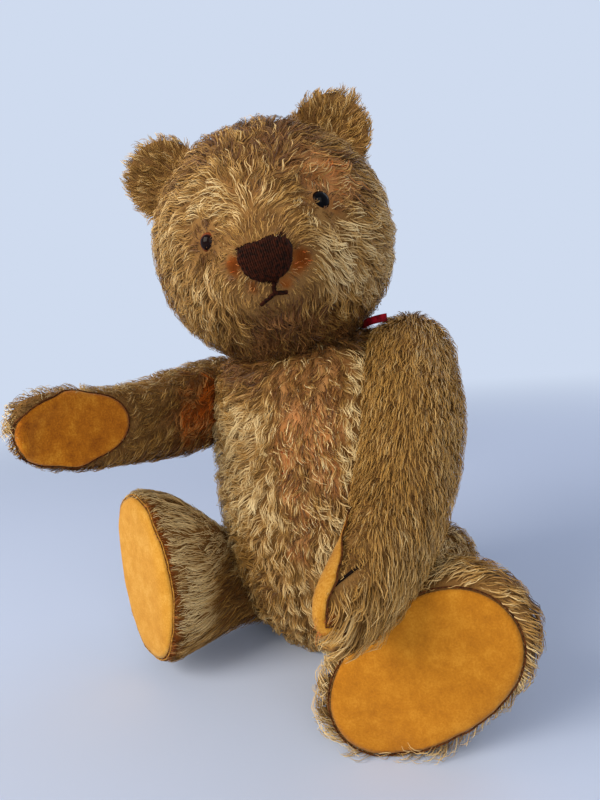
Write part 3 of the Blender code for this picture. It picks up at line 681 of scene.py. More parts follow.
@dataclass
class PileMaker:
    """Grows pile on a surface: locks follow guide hairs that run along the cloth."""

    surface: bpy.types.Object
    coat: Callable[[Array, Array], Coat]
    seed: int
    hairs_per_mm2: float = 0.68
    lock_spacing: float = 0.0050
    steps: int = 5
    width: float = 0.00042
    wavelength: float = 0.0088
    # how much the wave tops are painted lighter and the troughs darker: painted highlight and painted
    # shade
    painted_crest_light: float = 0.32
    neighbours: float = 0.3      # share of the hairs that follow the next lock's guide
    frizz: float = 0.00022       # swing of a hair of its own
    sunk: float = 0.6            # how deep the lowest hairs of a lock lie, as a share of its height
    pale_share: float = 0.42     # of the hairs on rubbed cloth
    pale_tone: float = 0.72
    uneven_tone: float = 0.07
    taper: float = 0.72          # share of its width that a hair loses up to its tip

    def __post_init__(self) -> None:
        """Prepare the surface's triangles and the search tree."""
        mesh = self.surface.data
        mesh.calc_loop_triangles()
        self.random = np.random.default_rng(self.seed)
        corners = np.empty(len(mesh.loop_triangles) * 3, np.int32)
        mesh.loop_triangles.foreach_get("vertices", corners)
        self.triangles = corners.reshape(-1, 3)
        self.places = vertex_array(mesh)
        self.tree = search_tree(mesh)
        a, b, c = (self.places[self.triangles[:, i]] for i in range(3))
        cross = np.cross(b - a, c - a)
        self.areas = np.linalg.norm(cross, axis=1) / 2
        self.normals = np.array([normal.vector[:] for normal in mesh.vertex_normals])
        self.faces = [list(face.vertices) for face in mesh.polygons]

    def scatter(self, count: int) -> tuple[Array, Array]:
        """Random points on the surface.

        Args:
            count: how many.

        Returns:
            Places and normals.
        """
        chosen = self.random.choice(len(self.areas), count, p=self.areas / self.areas.sum())
        r, s = self.random.random((2, count, 1))
        flip = r + s > 1
        r, s = np.where(flip, 1 - r, r), np.where(flip, 1 - s, s)
        a, b, c = (self.places[self.triangles[chosen, i]] for i in range(3))
        places = a + (b - a) * r + (c - a) * s
        a, b, c = (self.normals[self.triangles[chosen, i]] for i in range(3))
        return places, unit(a + (b - a) * r + (c - a) * s)

    def nearest(self, points: Array) -> tuple[Array, Array]:
        """Nearest places on the surface and the normals there."""
        found = [self.tree.find_nearest(point) for point in points.tolist()]
        normals = [self.normals[self.faces[index]].mean(axis=0) for _, _, index, _ in found]
        return np.array([place[:] for place, _, _, _ in found]), unit(np.array(normals))

    def guides(self) -> dict[str, Array]:
        """Run the guide hairs over the cloth.

        Returns:
            Their points and frames, each guide by step by 3, and their tone shift.
        """
        count = int(self.areas.sum() / self.lock_spacing ** 2 * 4)
        points, normals = self.scatter(count)
        cells = np.floor(points / self.lock_spacing).astype(int)
        _, first = np.unique(cells, axis=0, return_index=True)
        points, normals = points[first], normals[first]
        count = len(points)
        random = self.random
        coat = self.coat(points, normals)
        heading = flatten(coat.flow, normals)
        stray = coat.stray[:, None]
        swing = random.normal(0, 1, (count, 1)) * stray
        heading = unit(heading + np.cross(normals, heading) * swing)
        bend = random.normal(0, 0.4, (count, 1)) * stray
        phase = (coat.crest[:, None] * 2 * math.pi / self.wavelength
                 + random.normal(0, 1, (count, 1)) * (0.2 + 2.6 * stray))
        length = (coat.length * (1 + random.uniform(-0.8, 0.6, count) * coat.stray))[:, None]
        height = (coat.height * (1 + random.uniform(-1, 1.1, count) * coat.stray))[:, None]
        wave = coat.wave[:, None] * random.uniform(0.6, 1.3, (count, 1))
        ground, first_normals = points.copy(), normals.copy()
        rows, sides, ups, aheads, painted_crest_lights, lifts = [], [], [], [], [], []
        for step in range(self.steps + 1):
            s = step / self.steps
            side = np.cross(normals, heading)
            turn = 2 * math.pi * s * length / self.wavelength + phase
            ramp = min(1.0, 2.2 * s)
            lift = height * (1 - (1 - s) ** 2.4) * (1 - 0.35 * s * s)
            lift = lift + wave * 0.55 * ramp * (1 + np.cos(turn))
            rows.append(ground + normals * lift + side * wave * ramp * np.sin(turn))
            lifts.append(lift)
            sides.append(side)
            ups.append(normals)
            aheads.append(heading)
            # painted highlight on each wave top and painted shade in each trough, faint where the hair
            # lies flat
            painted_crest_lights.append(0.5 * ramp * np.cos(turn)[:, 0] * np.clip(coat.wave / 0.0012, 0.1, 1))
            ahead = ground + heading * length * 0.86 / self.steps
            near, turned = self.nearest(ahead)
            over = np.sum(turned * first_normals, axis=1, keepdims=True) < 0.45
            ground = np.where(over, ahead, near)
            normals = np.where(over, normals, turned)
            heading = flatten(heading + side * bend, normals)
        return {"points": np.stack(rows, 1), "side": np.stack(sides, 1),
                "up": np.stack(ups, 1), "ahead": np.stack(aheads, 1),
                "crest": np.stack(painted_crest_lights, 1), "lift": np.stack(lifts, 1),
                "tone": random.normal(0, 0.2, count) * coat.stray}

    def hairs(self) -> tuple[Array, Array, Array]:
        """Grow every hair along its lock's guide.

        Returns:
            Hair points, the directions across them (both hair by step by 3), and tones.
        """
        guides = self.guides()
        count = int(self.areas.sum() * 1e6 * self.hairs_per_mm2)
        roots, normals = self.scatter(count)
        coat = self.coat(roots, normals)
        kept = self.random.random(count) < coat.density
        roots, normals, tone = roots[kept], normals[kept], coat.tone[kept]
        count = len(roots)
        finder = KDTree(len(guides["points"]))
        for i, place in enumerate(guides["points"][:, 0].tolist()):
            finder.insert(place, i)
        finder.balance()
        near = np.array([[found[1:] for found in finder.find_n(place, 3)]
                         for place in roots.tolist()])
        weights = 1 / (near[:, :, 1] ** 2 + 1e-7)
        weights = (weights / weights.sum(axis=1, keepdims=True))[:, :, None]
        near = near[:, :, 0].astype(int)
        own = near[np.arange(count), (self.random.random(count) < self.neighbours).astype(int)]

        random = self.random
        start = guides["points"][own, 0]
        offset = roots - start
        along = np.sum(offset * guides["ahead"][own, 0], axis=1)[:, None]
        across = np.sum(offset * guides["side"][own, 0], axis=1)[:, None]
        rest = offset - along * guides["ahead"][own, 0] - across * guides["side"][own, 0]
        reach = random.uniform(0.6, 1.0, (count, 1)) * self.steps
        clump = coat.clump[kept][:, None] * random.uniform(0.7, 1.1, (count, 1))
        locked = np.clip(clump * 2.5, 0, 1)
        phase = random.random((count, 1)) * 2 * math.pi
        own_wave = random.normal(0, self.frizz, (count, 1))
        twist = random.normal(0, 0.6, (count, 1))
        sunk = random.random((count, 1)) ** 1.5 * self.sunk
        pale = random.random(count) < self.pale_share * coat.worn[kept]
        tone = np.where(pale, self.pale_tone, tone) + guides["tone"][own]
        tone = tone + random.normal(0, self.uneven_tone, count)
        rows, widths, tones = [], [], []
        for step in range(self.steps + 1):
            s = step / self.steps
            at = reach * s
            low = np.minimum(at.astype(int), self.steps - 1)[:, 0]
            part = at - low[:, None]
            mid = {key: guides[key][own, low] * (1 - part) + guides[key][own, low + 1] * part
                   for key in ("points", "side", "up", "ahead", "lift")}
            loose = 1 - clump * s ** 0.75
            frizz = own_wave * min(1.0, 3 * s) * np.sin(phase + 9.0 * s)
            drift = (guides["points"][near, low[:, None]] * (1 - part[:, None])
                     + guides["points"][near, low[:, None] + 1] * part[:, None]
                     - guides["points"][near, 0])
            lock = (mid["points"] + (along * mid["ahead"] + across * mid["side"]) * loose
                    + rest * (1 - s))
            rows.append(lock * locked + (roots + (drift * weights).sum(axis=1)) * (1 - locked)
                        + mid["side"] * frizz
                        + mid["up"] * (np.abs(frizz) * 0.8 - mid["lift"] * sunk))
            flat = mid["side"] * np.cos(twist) + mid["up"] * np.sin(twist)
            widths.append(unit(flat) * self.width * (1 - self.taper * s ** 1.5) / 2)
            crest = (guides["crest"][own, low] * (1 - part[:, 0])
                     + guides["crest"][own, low + 1] * part[:, 0])
            # the painted wave highlight and trough shade, weaker on dark hair
            tones.append(tone + self.painted_crest_light * crest * np.clip((tone - 0.38) * 4, 0.1, 1))
        return np.stack(rows, 1), np.stack(widths, 1), np.stack(tones, 1)

    def strip(self, points: Array, widths: Array, tones: Array) -> bpy.types.Mesh:
        """Cut a grid into narrow ribbons and lay one along every hair.

        Args:
            points: hair by step by 3.
            widths: half-width vectors, hair by step by 3.
            tones: hair by step.

        Returns:
            The mesh of all hairs, with its pile map.
        """
        columns = 2 * len(points)
        bm = bmesh.new()
        bmesh.ops.create_grid(bm, x_segments=columns - 1, y_segments=self.steps, size=0.5)
        between = [face for i, face in enumerate(bm.faces) if i % (columns - 1) % 2 == 1]
        bmesh.ops.delete(bm, geom=between, context="FACES")
        mesh = finished(bm)
        index = np.arange(len(mesh.vertices))
        step, column = index // columns, index % columns
        hair, edge_side = column // 2, (column % 2) * 2.0 - 1
        places = points[hair, step] + widths[hair, step] * edge_side[:, None]
        places[:, 2] = np.maximum(places[:, 2], 0.0002)
        mesh.vertices.foreach_set("co", places.astype(np.float32).ravel())
        corner = np.empty(len(mesh.loops), np.int32)
        mesh.loops.foreach_get("vertex_index", corner)
        tone = np.clip(tones[hair, step] + edge_side * 0.012, 0.01, 0.99)
        uv = np.stack([tone[corner], (0.01 + 0.98 * step / self.steps)[corner]], 1)
        layer = mesh.uv_layers.new(name=PILE_MAP)
        layer.uv.foreach_set("vector", uv.astype(np.float32).ravel())
        mesh.update()
        return mesh

    def build(self, name: str, body: str, parts: int = 1) -> None:
        """Grow the pile and link it as pieces from front to back.

        Args:
            name: the start of each piece's name.
            body: the CAD body that it rides on.
            parts: how many pieces.
        """
        points, widths, tones = self.hairs()
        order = np.argsort(points[:, 0, 1], kind="stable")
        for number, part in enumerate(np.array_split(order, parts), 1):
            hairs = self.strip(points[part], widths[part], tones[part])
            attach(new_piece(f"{name}_{number}", hairs, PILE), body)


# ---- places on the bear -----------------------------------------------------------------------
def mm(*place: float) -> Array:
    """A place or size given in millimetres, in metres."""
    return np.array(place) / 1000


def centre(node: str) -> Array:
    """Middle of a CAD node's box."""
    low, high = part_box(node)
    return (np.array(low) + np.array(high)) / 2


class Nearness:
    """Distance from points to other pieces, for keeping pile off them."""

    reach = 0.03

    def __init__(self, meshes: Sequence[bpy.types.Mesh]) -> None:
        """Gather meshes in one search tree.

        Args:
            meshes: the meshes, in the row frame.
        """
        self.tree = search_tree(*meshes)

    @classmethod
    def to(cls, *nodes: str) -> "Nearness":
        """Nearness to CAD nodes."""
        return cls([cad_mesh(node) for node in nodes])

    @classmethod
    def of(cls, piece: bpy.types.Object) -> "Nearness":
        """Nearness to a piece."""
        return cls([piece.data])

    def __call__(self, points: Array) -> Array:
        """Distance of each point, at most the reach."""
        found = [self.tree.find_nearest(point, self.reach)[3] for point in points.tolist()]
        return np.array([self.reach if away is None else away for away in found])

    def covers(self, points: Array, normals: Array, reach: float = 0.004) -> Array:
        """Which points lie under the nodes, seen along their normals."""
        rays = zip((points - normals * 0.001).tolist(), normals.tolist())
        return np.array([self.tree.ray_cast(point, way, reach)[0] is not None
                         for point, way in rays])


def joint(name: str) -> tuple[Array, Array]:
    """Place and axis of a joint.

    Args:
        name: the joint's name.

    Returns:
        Its pivot and its unit axis.
    """
    found = next(item for item in frame["joints"] if item["name"] == name)
    return np.array(found["pos_m"]), unit(np.array(found["axis"]))


def even_coat(count: int, flow: Array, **values: float) -> Coat:
    """A coat that is the same at every point.

    Args:
        count: number of points.
        flow: one direction, or one for each point.
        values: length, height, wave, density and tone.

    Returns:
        The coat.
    """
    values = {"clump": 0.55, "worn": 0.0, "stray": 0.3, **values}
    rows = {name: np.full(count, value) for name, value in values.items()}
    return Coat(flow=np.broadcast_to(flow, (count, 3)).copy(), **rows)


# ---- head -------------------------------------------------------------------------------------
@dataclass
class Head:
    """Round head with a low muzzle, cupped ears, glass eyes and a stitched face."""

    eye_radius: float = 0.0042
    nose_threads: int = 24
    nose_thread: float = 0.00042
    mouth_thread: float = 0.00058

    def __post_init__(self) -> None:
        """Find the face's directions from its parts."""
        pivot, self.up = joint("neck_turn")
        self.middle = pivot + self.up * 0.0504
        self.nose = centre("nose_embroidery")
        self.ahead = unit(self.nose - self.middle)
        self.left = unit(centre("left_eye") - centre("right_eye"))
        self.above = unit(np.cross(self.ahead, self.left))
        self.features = Nearness.to("nose_embroidery", "mouth_stitches")
        self.eyes = Nearness.to("left_eye", "right_eye")
        self.ears = Nearness.to("left_ear", "right_ear")
        self.eye_places = centre("right_eye"), centre("left_eye")

    def coat(self, points: Array, normals: Array) -> Coat:
        """Pile that runs outwards from the nose, short on the muzzle and curly on cheeks and crown."""
        out = points - self.nose
        away = np.linalg.norm(out, axis=1)
        side = (points - self.middle) @ self.left
        beside = np.clip(np.abs(side) / 0.02, 0, 1) * smooth_step(away, 0.02, 0.045)
        flow = unit(out) - np.outer(beside, self.above * 0.9)
        flow += np.outer(ripple(points, 0.03) * 0.35, self.left)
        ring = smooth_step(away, 0.014, 0.026) * smooth_step(away, 0.044, 0.030)
        round_it = np.cross(unit(out), self.ahead) * np.tanh(out @ self.left * 200)[:, None]
        flow += round_it * ring[:, None] * 1.5
        coat = even_coat(len(points), flow, length=0.0175, height=0.0038, wave=0.0016,
                         density=0.95, tone=0.72, clump=0.5, stray=0.20, crest=away)
        muzzle = smooth_step(away, 0.029, 0.023)
        coat.blend(muzzle, length=0.0055, height=0.0013, wave=0.0002, clump=0.15, stray=0.10)
        coat.add(muzzle, tone=-0.13)
        # painted shade: the top of the head is darker, as less lit from above
        coat.add(smooth_step((points - self.middle) @ self.up, 0.014, 0.042), tone=-0.20)
        # painted light and shade: the left of the crown and the bear's right cheek darker, its left
        # cheek lighter; the last patch lightens a spot on the face above the nose
        for place, reach, tone in ((mm(-22, 8, 242), 0.034, 0.50), (mm(-46, -18, 176), 0.030, 0.60),
                                   (mm(23, -1, 186), 0.016, 0.84), (mm(-6, -22, 206), 0.014, 0.80)):
            coat.patch(points, place, reach, tone=tone)
        coat.patch(points, mm(3, -6, 223), 0.024, density=0.9, length=0.011, tone=0.46, worn=0.3)
        coat.patch(points, mm(19, 6, 216), 0.018, density=0.7, length=0.008, height=0.0020,
                   tone=0.20, worn=0.9)
        # painted shade under the head, over the dark brown hair under the chin: darker where the cloth
        # faces down
        coat.blend(smooth_step(normals @ self.up, -0.35, -0.80), tone=Tone.BROWN)
        for place, reach in ((mm(-3.8, -30.6, 180), 0.0048), (mm(18, -18, 180), 0.0064),
                             (mm(12.6, -21, 172), 0.0036), (mm(1.5, -27.5, 171), 0.0038)):
            coat.patch(points, place, reach, density=0.25, length=0.0022, height=0.0005,
                       tone=0.05, worn=-1.0, stray=0.1)
        features = self.features(points)
        coat.density *= smooth_step(features, 0.0004, 0.0012)
        coat.keep_off(features, (0.0032, 0.5), (0.0012, 0.25))
        seen = np.stack((self.left, self.above), 1)
        strokes = np.concatenate(self.mouth_strokes()) @ seen
        mouth = np.full(len(points), Nearness.reach)
        front = away < Nearness.reach
        gaps = (points[front] @ seen)[:, None] - strokes
        mouth[front] = np.linalg.norm(gaps, axis=2).min(axis=1)
        coat.density *= smooth_step(mouth, 0.0005, 0.0014)
        coat.keep_off(mouth, (0.0014, 0.7), (0.0003, 0.3))
        eyes = self.eyes(points)
        coat.density *= smooth_step(eyes, 0.0003, 0.0009)
        coat.keep_off(eyes, (0.0030, 0.6), (0.0008, 0.28))
        # darker round the eyes: painted shade in the hollows round them, along with the dark brown
        # hair there
        coat.blend(smooth_step(eyes, 0.006, 0.001), tone=Tone.BROWN)
        near_eyes = smooth_step(eyes, 0.012, 0.004)[:, None]
        from_eye = np.where((side > -0.004)[:, None], points - self.eye_places[1],
                            points - self.eye_places[0])
        coat.flow = coat.flow * (1 - near_eyes) + unit(from_eye) * near_eyes
        coat.density *= smooth_step(self.ears(points), 0.0003, 0.0012)
        coat.seat(points, joint("neck_turn")[0], 0.013, 0.018)
        return coat

    def ear_coat(self, side: Side, points: Array, normals: Array) -> Coat:
        """Curls that run from the ear's root to its rim on both faces."""
        middle = centre(f"{side.value}_ear")
        outward = unit(middle - self.middle)
        out = points - (middle - outward * 0.016)
        coat = even_coat(len(points), unit(out), length=0.0070, height=0.0018, wave=0.0008,
                         density=1.0, tone=0.74, clump=0.45, stray=0.2,
                         crest=np.linalg.norm(out, axis=1))
        front = smooth_step(normals @ self.ahead, -0.1, 0.5)
        coat.add(front, tone=-0.13)
        coat.density *= 1 - 0.2 * front
        return coat

    def ear(self, side: Side) -> None:
        """Round one ear's cloth and grow its pile."""
        bm = merged_copy(f"{side.value}_ear")

        def rounding(passing: bpy.types.Object) -> None:
            """Even out and soften the cup."""
            smooth = passing.modifiers.new("round", "SUBSURF")
            smooth.levels = smooth.render_levels = 1

        piece = new_piece(f"{side.value}_ear_skin", plain_mesh(finished(bm), rounding), BACKING)
        attach(piece, "head", f"{side.value}_ear")
        grower = PileMaker(piece, lambda p, n: self.ear_coat(side, p, n),
                           seed=21 if side is Side.LEFT else 22, hairs_per_mm2=1.0,
                           lock_spacing=0.0036, steps=4)
        grower.build(f"{side.value}_ear_pile", "head")

    def eye(self, side: Side, finish: EyeGlass) -> None:
        """Turn one glass eye, a little flat, with a tone that changes to its rim."""
        node = f"{side.value}_eye"
        out = unit(centre(node) - self.middle)
        front = max((vertex_array(cad_mesh(node)) - self.middle) @ out)
        middle = Vector(self.middle + out * (front - self.eye_radius * 0.86))
        look = Vector(out + self.ahead * 0.3).normalized()
        turn = look.to_track_quat("Z", "Y").to_matrix().to_4x4()
        bm = bmesh.new()
        bmesh.ops.create_uvsphere(bm, u_segments=40, v_segments=24, radius=self.eye_radius)
        bmesh.ops.scale(bm, vec=(1, 1, 0.86), verts=bm.verts[:])
        bmesh.ops.transform(bm, matrix=Matrix.Translation(middle) @ turn, verts=bm.verts[:])
        mesh = finished(bm)
        rim = mesh.attributes.new("rim", "FLOAT", "POINT")
        for vert, value in zip(mesh.vertices, rim.data):
            value.value = 1 - max(0.0, (vert.co - middle).normalized().dot(look))
        piece = new_piece(f"{side.value}_glass_eye", mesh, finish.material())
        attach(piece, "head", node)

    def stitch_nose(self, finish: bpy.types.Material, skin: bpy.types.Object) -> None:
        """Lay satin stitches from the flat top edge of the nose to its foot, the middle ones
        closing up towards the mouth.

        Args:
            finish: the thread.
            skin: the head's cloth, which they lie on beyond the CAD nose.
        """
        tree = search_tree(cad_mesh("nose_embroidery"), skin.data)
        random = np.random.default_rng(31)
        paths = []
        for index in range(self.nose_threads):
            across = (index + 0.5) / self.nose_threads * 2 - 1
            foot = -0.0075 + 0.0055 * abs(across) ** 2.5 - 0.0045 * max(0, 1 - 2.5 * abs(across))
            path = []
            for height in np.linspace(0.0076 - random.random() * 0.0004, foot, 20):
                lean = across * (0.0102 - 0.0014 * smooth_step(height, 0.0, -0.007))
                lean *= 1 - 0.9 * smooth_step(height, -0.007, -0.012)
                start = self.nose + self.left * lean + self.above * height + self.ahead * 0.02
                hit, normal = tree.ray_cast(Vector(start), Vector(-self.ahead))[:2]
                path.append(hit + normal * 0.00005)
            paths.append(path)
        threads = new_piece("nose_threads", tubes(paths, self.nose_thread), finish)
        attach(threads, "head")

    def mouth_strokes(self) -> list[Array]:
        """Places along the stem and the two strokes below it."""
        top, fork = mm(10.2, -26.8, 172.4), mm(9.2, -24.4, 168.4)
        ends = (top, fork), (fork, mm(1.8, -24.2, 164.6)), (fork, mm(12.4, -20.8, 168.4))
        return [np.linspace(start, end, 9) for start, end in ends]

    def stitch_mouth(self, finish: bpy.types.Material, skin: bpy.types.Object) -> None:
        """Replace the mouth by three strokes of doubled thread, laid on the cloth.

        Args:
            finish: the thread.
            skin: the head's cloth.
        """
        tree = search_tree(skin.data)
        paths = []
        for stroke in self.mouth_strokes():
            sideways = unit(np.cross(stroke[-1] - stroke[0], self.ahead)) * self.mouth_thread
            for shift in (-0.45, 0.45):
                starts = stroke + sideways * shift + self.ahead * 0.02
                hits = [tree.ray_cast(Vector(start), Vector(-self.ahead))[:2] for start in starts]
                paths.append([hit + normal * 0.0006 for hit, normal in hits])
        piece = new_piece("mouth_threads", tubes(paths, self.mouth_thread), finish)
        attach(piece, "head", "mouth_stitches")

    def build(self) -> None:
        """Dress the head."""
        skin = Skin("head", "head").build(self.coat)
        PileMaker(skin, self.coat, seed=11, lock_spacing=0.0055, wavelength=0.0105).build(
            "head_pile", "head", parts=3)
        for side in Side:
            self.ear(side)
        self.eye(Side.LEFT, EyeGlass("black glass", "020101", "120503"))
        self.eye(Side.RIGHT, EyeGlass("brown glass", "140604", "7a3c1e"))
        thread = CottonThread("dark brown pearl cotton", "070200", "351406").material()
        dress("nose_embroidery", thread)
        self.stitch_nose(thread, skin)
        self.stitch_mouth(thread, skin)
        LOG.info("head: face, ears and pile")


# ---- torso ------------------------------------------------------------------------------------
@dataclass
class Torso:
    """Body with a bald chest, its front seam mended with red thread."""

    def __post_init__(self) -> None:
        """Find the joints that sit on it."""
        self.seats = [joint(name)[0] for name in ("right_shoulder_swing", "left_shoulder_swing",
                                                  "right_hip_swing", "left_hip_swing")]
        self.neck = joint("neck_turn")[0]
        self.seam = mm(50, 70, 84, 101, 125), mm(-6, -7.9, -11.5, -12.6, -13.5)

    def coat(self, points: Array, normals: Array) -> Coat:
        """Wavy rows that hang down, worn away down the middle of the chest."""
        x, y, z = points.T
        side = x - mm(-11)
        flank = smooth_step(side, -0.008, -0.022)
        around = np.cross(normals, (0, 0, 1.0))
        flow = around * (1.1 * flank - 0.3 * np.tanh(side * 60) * (1 - flank))[:, None]
        flow[:, 0] += 0.25 * np.sin(z * 260)
        flow[:, 2] -= 1 - 0.5 * flank
        coat = even_coat(len(points), flow, length=0.0130, height=0.0038, wave=0.0017,
                         density=0.95, tone=0.76, clump=0.65, stray=0.24,
                         crest=-z * (1 - 0.4 * flank) + (y - x) * 0.6 * flank)
        coat.add(flank, wave=0.0011, length=0.007, clump=0.10, stray=-0.13)
        coat.add(flank * smooth_step(z, 0.095, 0.060), height=-0.0012)
        coat.add(ripple(points, 0.04), tone=0.05)
        coat.patch(points, mm(-30, 0, 46), 0.026, tone=0.60)
        for place, reach, tone in ((mm(-6, 5, 118), 0.014, 0.34), (mm(6, 6, 114), 0.014, 0.30),
                                   (mm(-9, 1, 102), 0.011, 0.22), (mm(5, 2, 99), 0.011, 0.34),
                                   (mm(10, 3, 90), 0.009, 0.30), (mm(-7, -2, 85), 0.010, 0.24),
                                   (mm(0, -3, 72), 0.009, 0.34), (mm(-7, -3, 58), 0.008, 0.34)):
            coat.patch(points, place, reach, length=0.0085, height=0.0020,
                       wave=0.0011, tone=tone, clump=0.2, worn=1.0, stray=0.42)
        # darker top of the chest: painted shade under the chin, over darker brown fur there
        for place in (mm(-6, 10, 136), mm(5, 12, 133)):
            coat.patch(points, place, 0.017, length=0.0080, height=0.0020, tone=0.38, worn=0.4)
        coat.add(smooth_step(z, 0.05, 0.02), tone=-0.08)
        beside = np.abs(x - np.interp(z, *self.seam)) + (y > 0.015) * 0.03
        coat.height = np.minimum(coat.height, 0.0007 + 0.4 * beside)
        coat.density *= 0.4 + 0.6 * smooth_step(beside, 0.0003, 0.0016)
        for seat in self.seats:
            coat.seat(points, seat, 0.010, 0.014)
        away = np.linalg.norm(points - self.neck, axis=1)
        coat.density *= smooth_step(away, 0.015, 0.019)
        # painted shadow of the head over the top of the torso, along with dark brown hair at the neck
        coat.blend(smooth_step(away, 0.044, 0.028), tone=Tone.BROWN)
        for height in range(97, 140, 8):
            place = mm(17.5 + (height > 100) * 1.5, 8 + (height - 97) * 0.32, height)
            coat.patch(points, place, 0.008, length=0.011, height=0.0046, tone=Tone.CREAM,
                       clump=0.75)
        coat.density *= smooth_step(z, 0.0012, 0.004)
        return coat

    def seam_stitches(self) -> None:
        """Short crossing stitches of red thread where the seam shows."""
        random = np.random.default_rng(41)
        places = [mm(-11.7, -1.9, 86), mm(-10.6, -2.4, 81), mm(-8.4, -3.0, 72),
                  mm(-7.6, -3.3, 67), mm(-12.0, -1.0, 92), mm(-12.6, 0.6, 101)]
        paths = []
        for place in places:
            lean = random.uniform(-0.5, 0.5)
            half = Vector((0.0013, 0, 0.0013 * lean))
            middle = Vector(place) + Vector((0, -0.0004, 0))
            paths.append([middle - half + Vector((0, 0.0007, 0)), middle - half * 0.5,
                          middle + half * 0.5, middle + half + Vector((0, 0.0007, 0))])
        finish = CottonThread("rusty red cotton", "7a2a14", "b4532c").material()
        piece = new_piece("chest_stitches", tubes(paths, 0.00028), finish)
        attach(piece, "torso")

    def build(self) -> None:
        """Dress the torso."""
        skin = Skin("torso", "torso").build(self.coat)
        PileMaker(skin, self.coat, seed=51, painted_crest_light=0.52, wavelength=0.0098).build(
            "torso_pile", "torso", parts=3)
        self.seam_stitches()
        LOG.info("torso: pile and seam")


# ---- arms -------------------------------------------------------------------------------------
# one amber felt on all four pads; their colours are partly painted light and shade: the lit right sole
# is painted lighter, the left sole and paws darker, along with the felts' own differences
FELT = {"right_paw": WoolFelt("amber wool felt, right paw", "844606", "b0680e", "ce8c26"),
        "left_paw": WoolFelt("amber wool felt, left paw", "84540e", "a87422", "c09040"),
        "right_foot": WoolFelt("yellow wool felt, right sole", "b2781e", "c48c30", "d2a04a"),
        "left_foot": WoolFelt("amber wool felt, left sole", "965c0c", "ac6e14", "be8224")}


@dataclass
class FeltPad:
    """Felt pad laid on the cloth and sewn down, with its seam thread round it."""

    name: str
    body: str
    thick: float = 0.0011
    thread: float = 0.00030
    around: int = 72
    rings: int = 16
    stretch: float = 0.0         # how much further it reaches towards one place
    toward: Array | None = None
    shift: tuple = (0.0, 0.0, 0.0)
    grow: float = 0.0            # how much further it reaches all round
    lift: float = 0.0003         # of its underside above the cloth
    thread_tones: tuple = ("2e1608", "5f3414")

    def outline(self, middle: Vector, out: Vector) -> Array:
        """Reach of the CAD pad's rim round its middle.

        Args:
            middle: the pad's middle.
            out: the way its face looks.

        Returns:
            Directions in the pad's plane and distances, for evenly spaced turns.
        """
        points = vertex_array(cad_mesh(f"{self.name}_pad")) - np.array(middle)
        up = np.array(out)
        first = flatten(np.array([[0.0, 0.0, 1.0]]), up[None])[0]
        second = np.cross(up, first)
        turns = np.arange(self.around) / self.around * 2 * math.pi
        ways = np.outer(np.cos(turns), first) + np.outer(np.sin(turns), second)
        flat = points - np.outer(points @ up, up)
        angle = np.arctan2(flat @ second, flat @ first)
        size = np.linalg.norm(flat, axis=1)
        rim = size > 0.55 * size.max()
        order = np.unique(np.round(angle[rim], 2))
        far = [size[rim][np.abs(angle[rim] - a) < 0.02].max() for a in order]
        reach = np.interp(turns, order, far, period=2 * math.pi)
        for _ in range(2):
            reach = (np.roll(reach, 1) + reach + np.roll(reach, -1)) / 3
        if self.toward is not None:
            lean = ways @ unit(self.toward - np.array(middle))
            reach = reach + self.stretch * np.clip(lean, 0, 1) ** 3
        return ways * (reach + self.grow)[:, None]

    def build(self, skin: bpy.types.Object) -> bpy.types.Object:
        """Lay the felt from its middle outwards over the cloth, thicken it and sew it down.

        Args:
            skin: the cloth that it is sewn to.

        Returns:
            The felt piece.
        """
        tree = search_tree(skin.data)
        pad = cad_mesh(f"{self.name}_pad")
        middle = Vector(centre(f"{self.name}_pad"))
        big = max(pad.polygons, key=lambda face: face.area).normal
        out = big.copy() if big.dot(tree.find_nearest(middle)[1]) > 0 else -big
        ways = self.outline(middle, out)
        place, _ = tree.find_nearest(middle + Vector(mm(*self.shift)))[:2]
        bm = bmesh.new()
        bmesh.ops.create_grid(bm, x_segments=self.around, y_segments=self.rings, size=0.5)
        rows = [list(bm.verts)[i * (self.around + 1):(i + 1) * (self.around + 1)]
                for i in range(self.rings + 1)]
        rim = []
        for number in range(self.around + 1):
            way = Vector(ways[number % self.around])
            spot, normal = place.copy(), out.copy()
            heading = way.copy()
            for ring in range(self.rings + 1):
                rows[ring][number].co = spot + normal * self.lift
                spot, normal = tree.find_nearest(spot + heading / self.rings)[:2]
                heading = (heading - normal * heading.dot(normal)).normalized() * way.length
            rim.append(rows[self.rings][number].co + normal * self.thick * 0.8)
            rim[-1].z = max(rim[-1].z, self.thread)
        bmesh.ops.remove_doubles(bm, verts=bm.verts[:], dist=1e-6)
        bmesh.ops.recalc_face_normals(bm, faces=bm.faces[:])
        bm.normal_update()
        if sum(face.normal.dot(out) for face in bm.faces) < 0:
            bmesh.ops.reverse_faces(bm, faces=bm.faces[:])

        def thicken(passing: bpy.types.Object) -> None:
            """Give the felt its thickness and soften its cut edge."""
            wall = passing.modifiers.new("felt", "SOLIDIFY")
            wall.thickness = self.thick
            wall.offset = 1.0
            soft = passing.modifiers.new("soft", "SMOOTH")
            soft.factor = 0.5
            soft.iterations = 3

        felt = plain_mesh(finished(bm), thicken)
        for vert in felt.vertices:
            vert.co.z = max(vert.co.z, 0.0002)
        piece = new_piece(f"{self.name}_felt", felt, FELT[self.name].material())
        attach(piece, self.body, f"{self.name}_pad")
        finish = CottonThread(f"brown linen thread, {self.name.replace('_', ' ')}",
                              *self.thread_tones).material()
        seam = new_piece(f"{self.name}_seam", tubes([rim], self.thread), finish)
        attach(seam, self.body)
        return piece


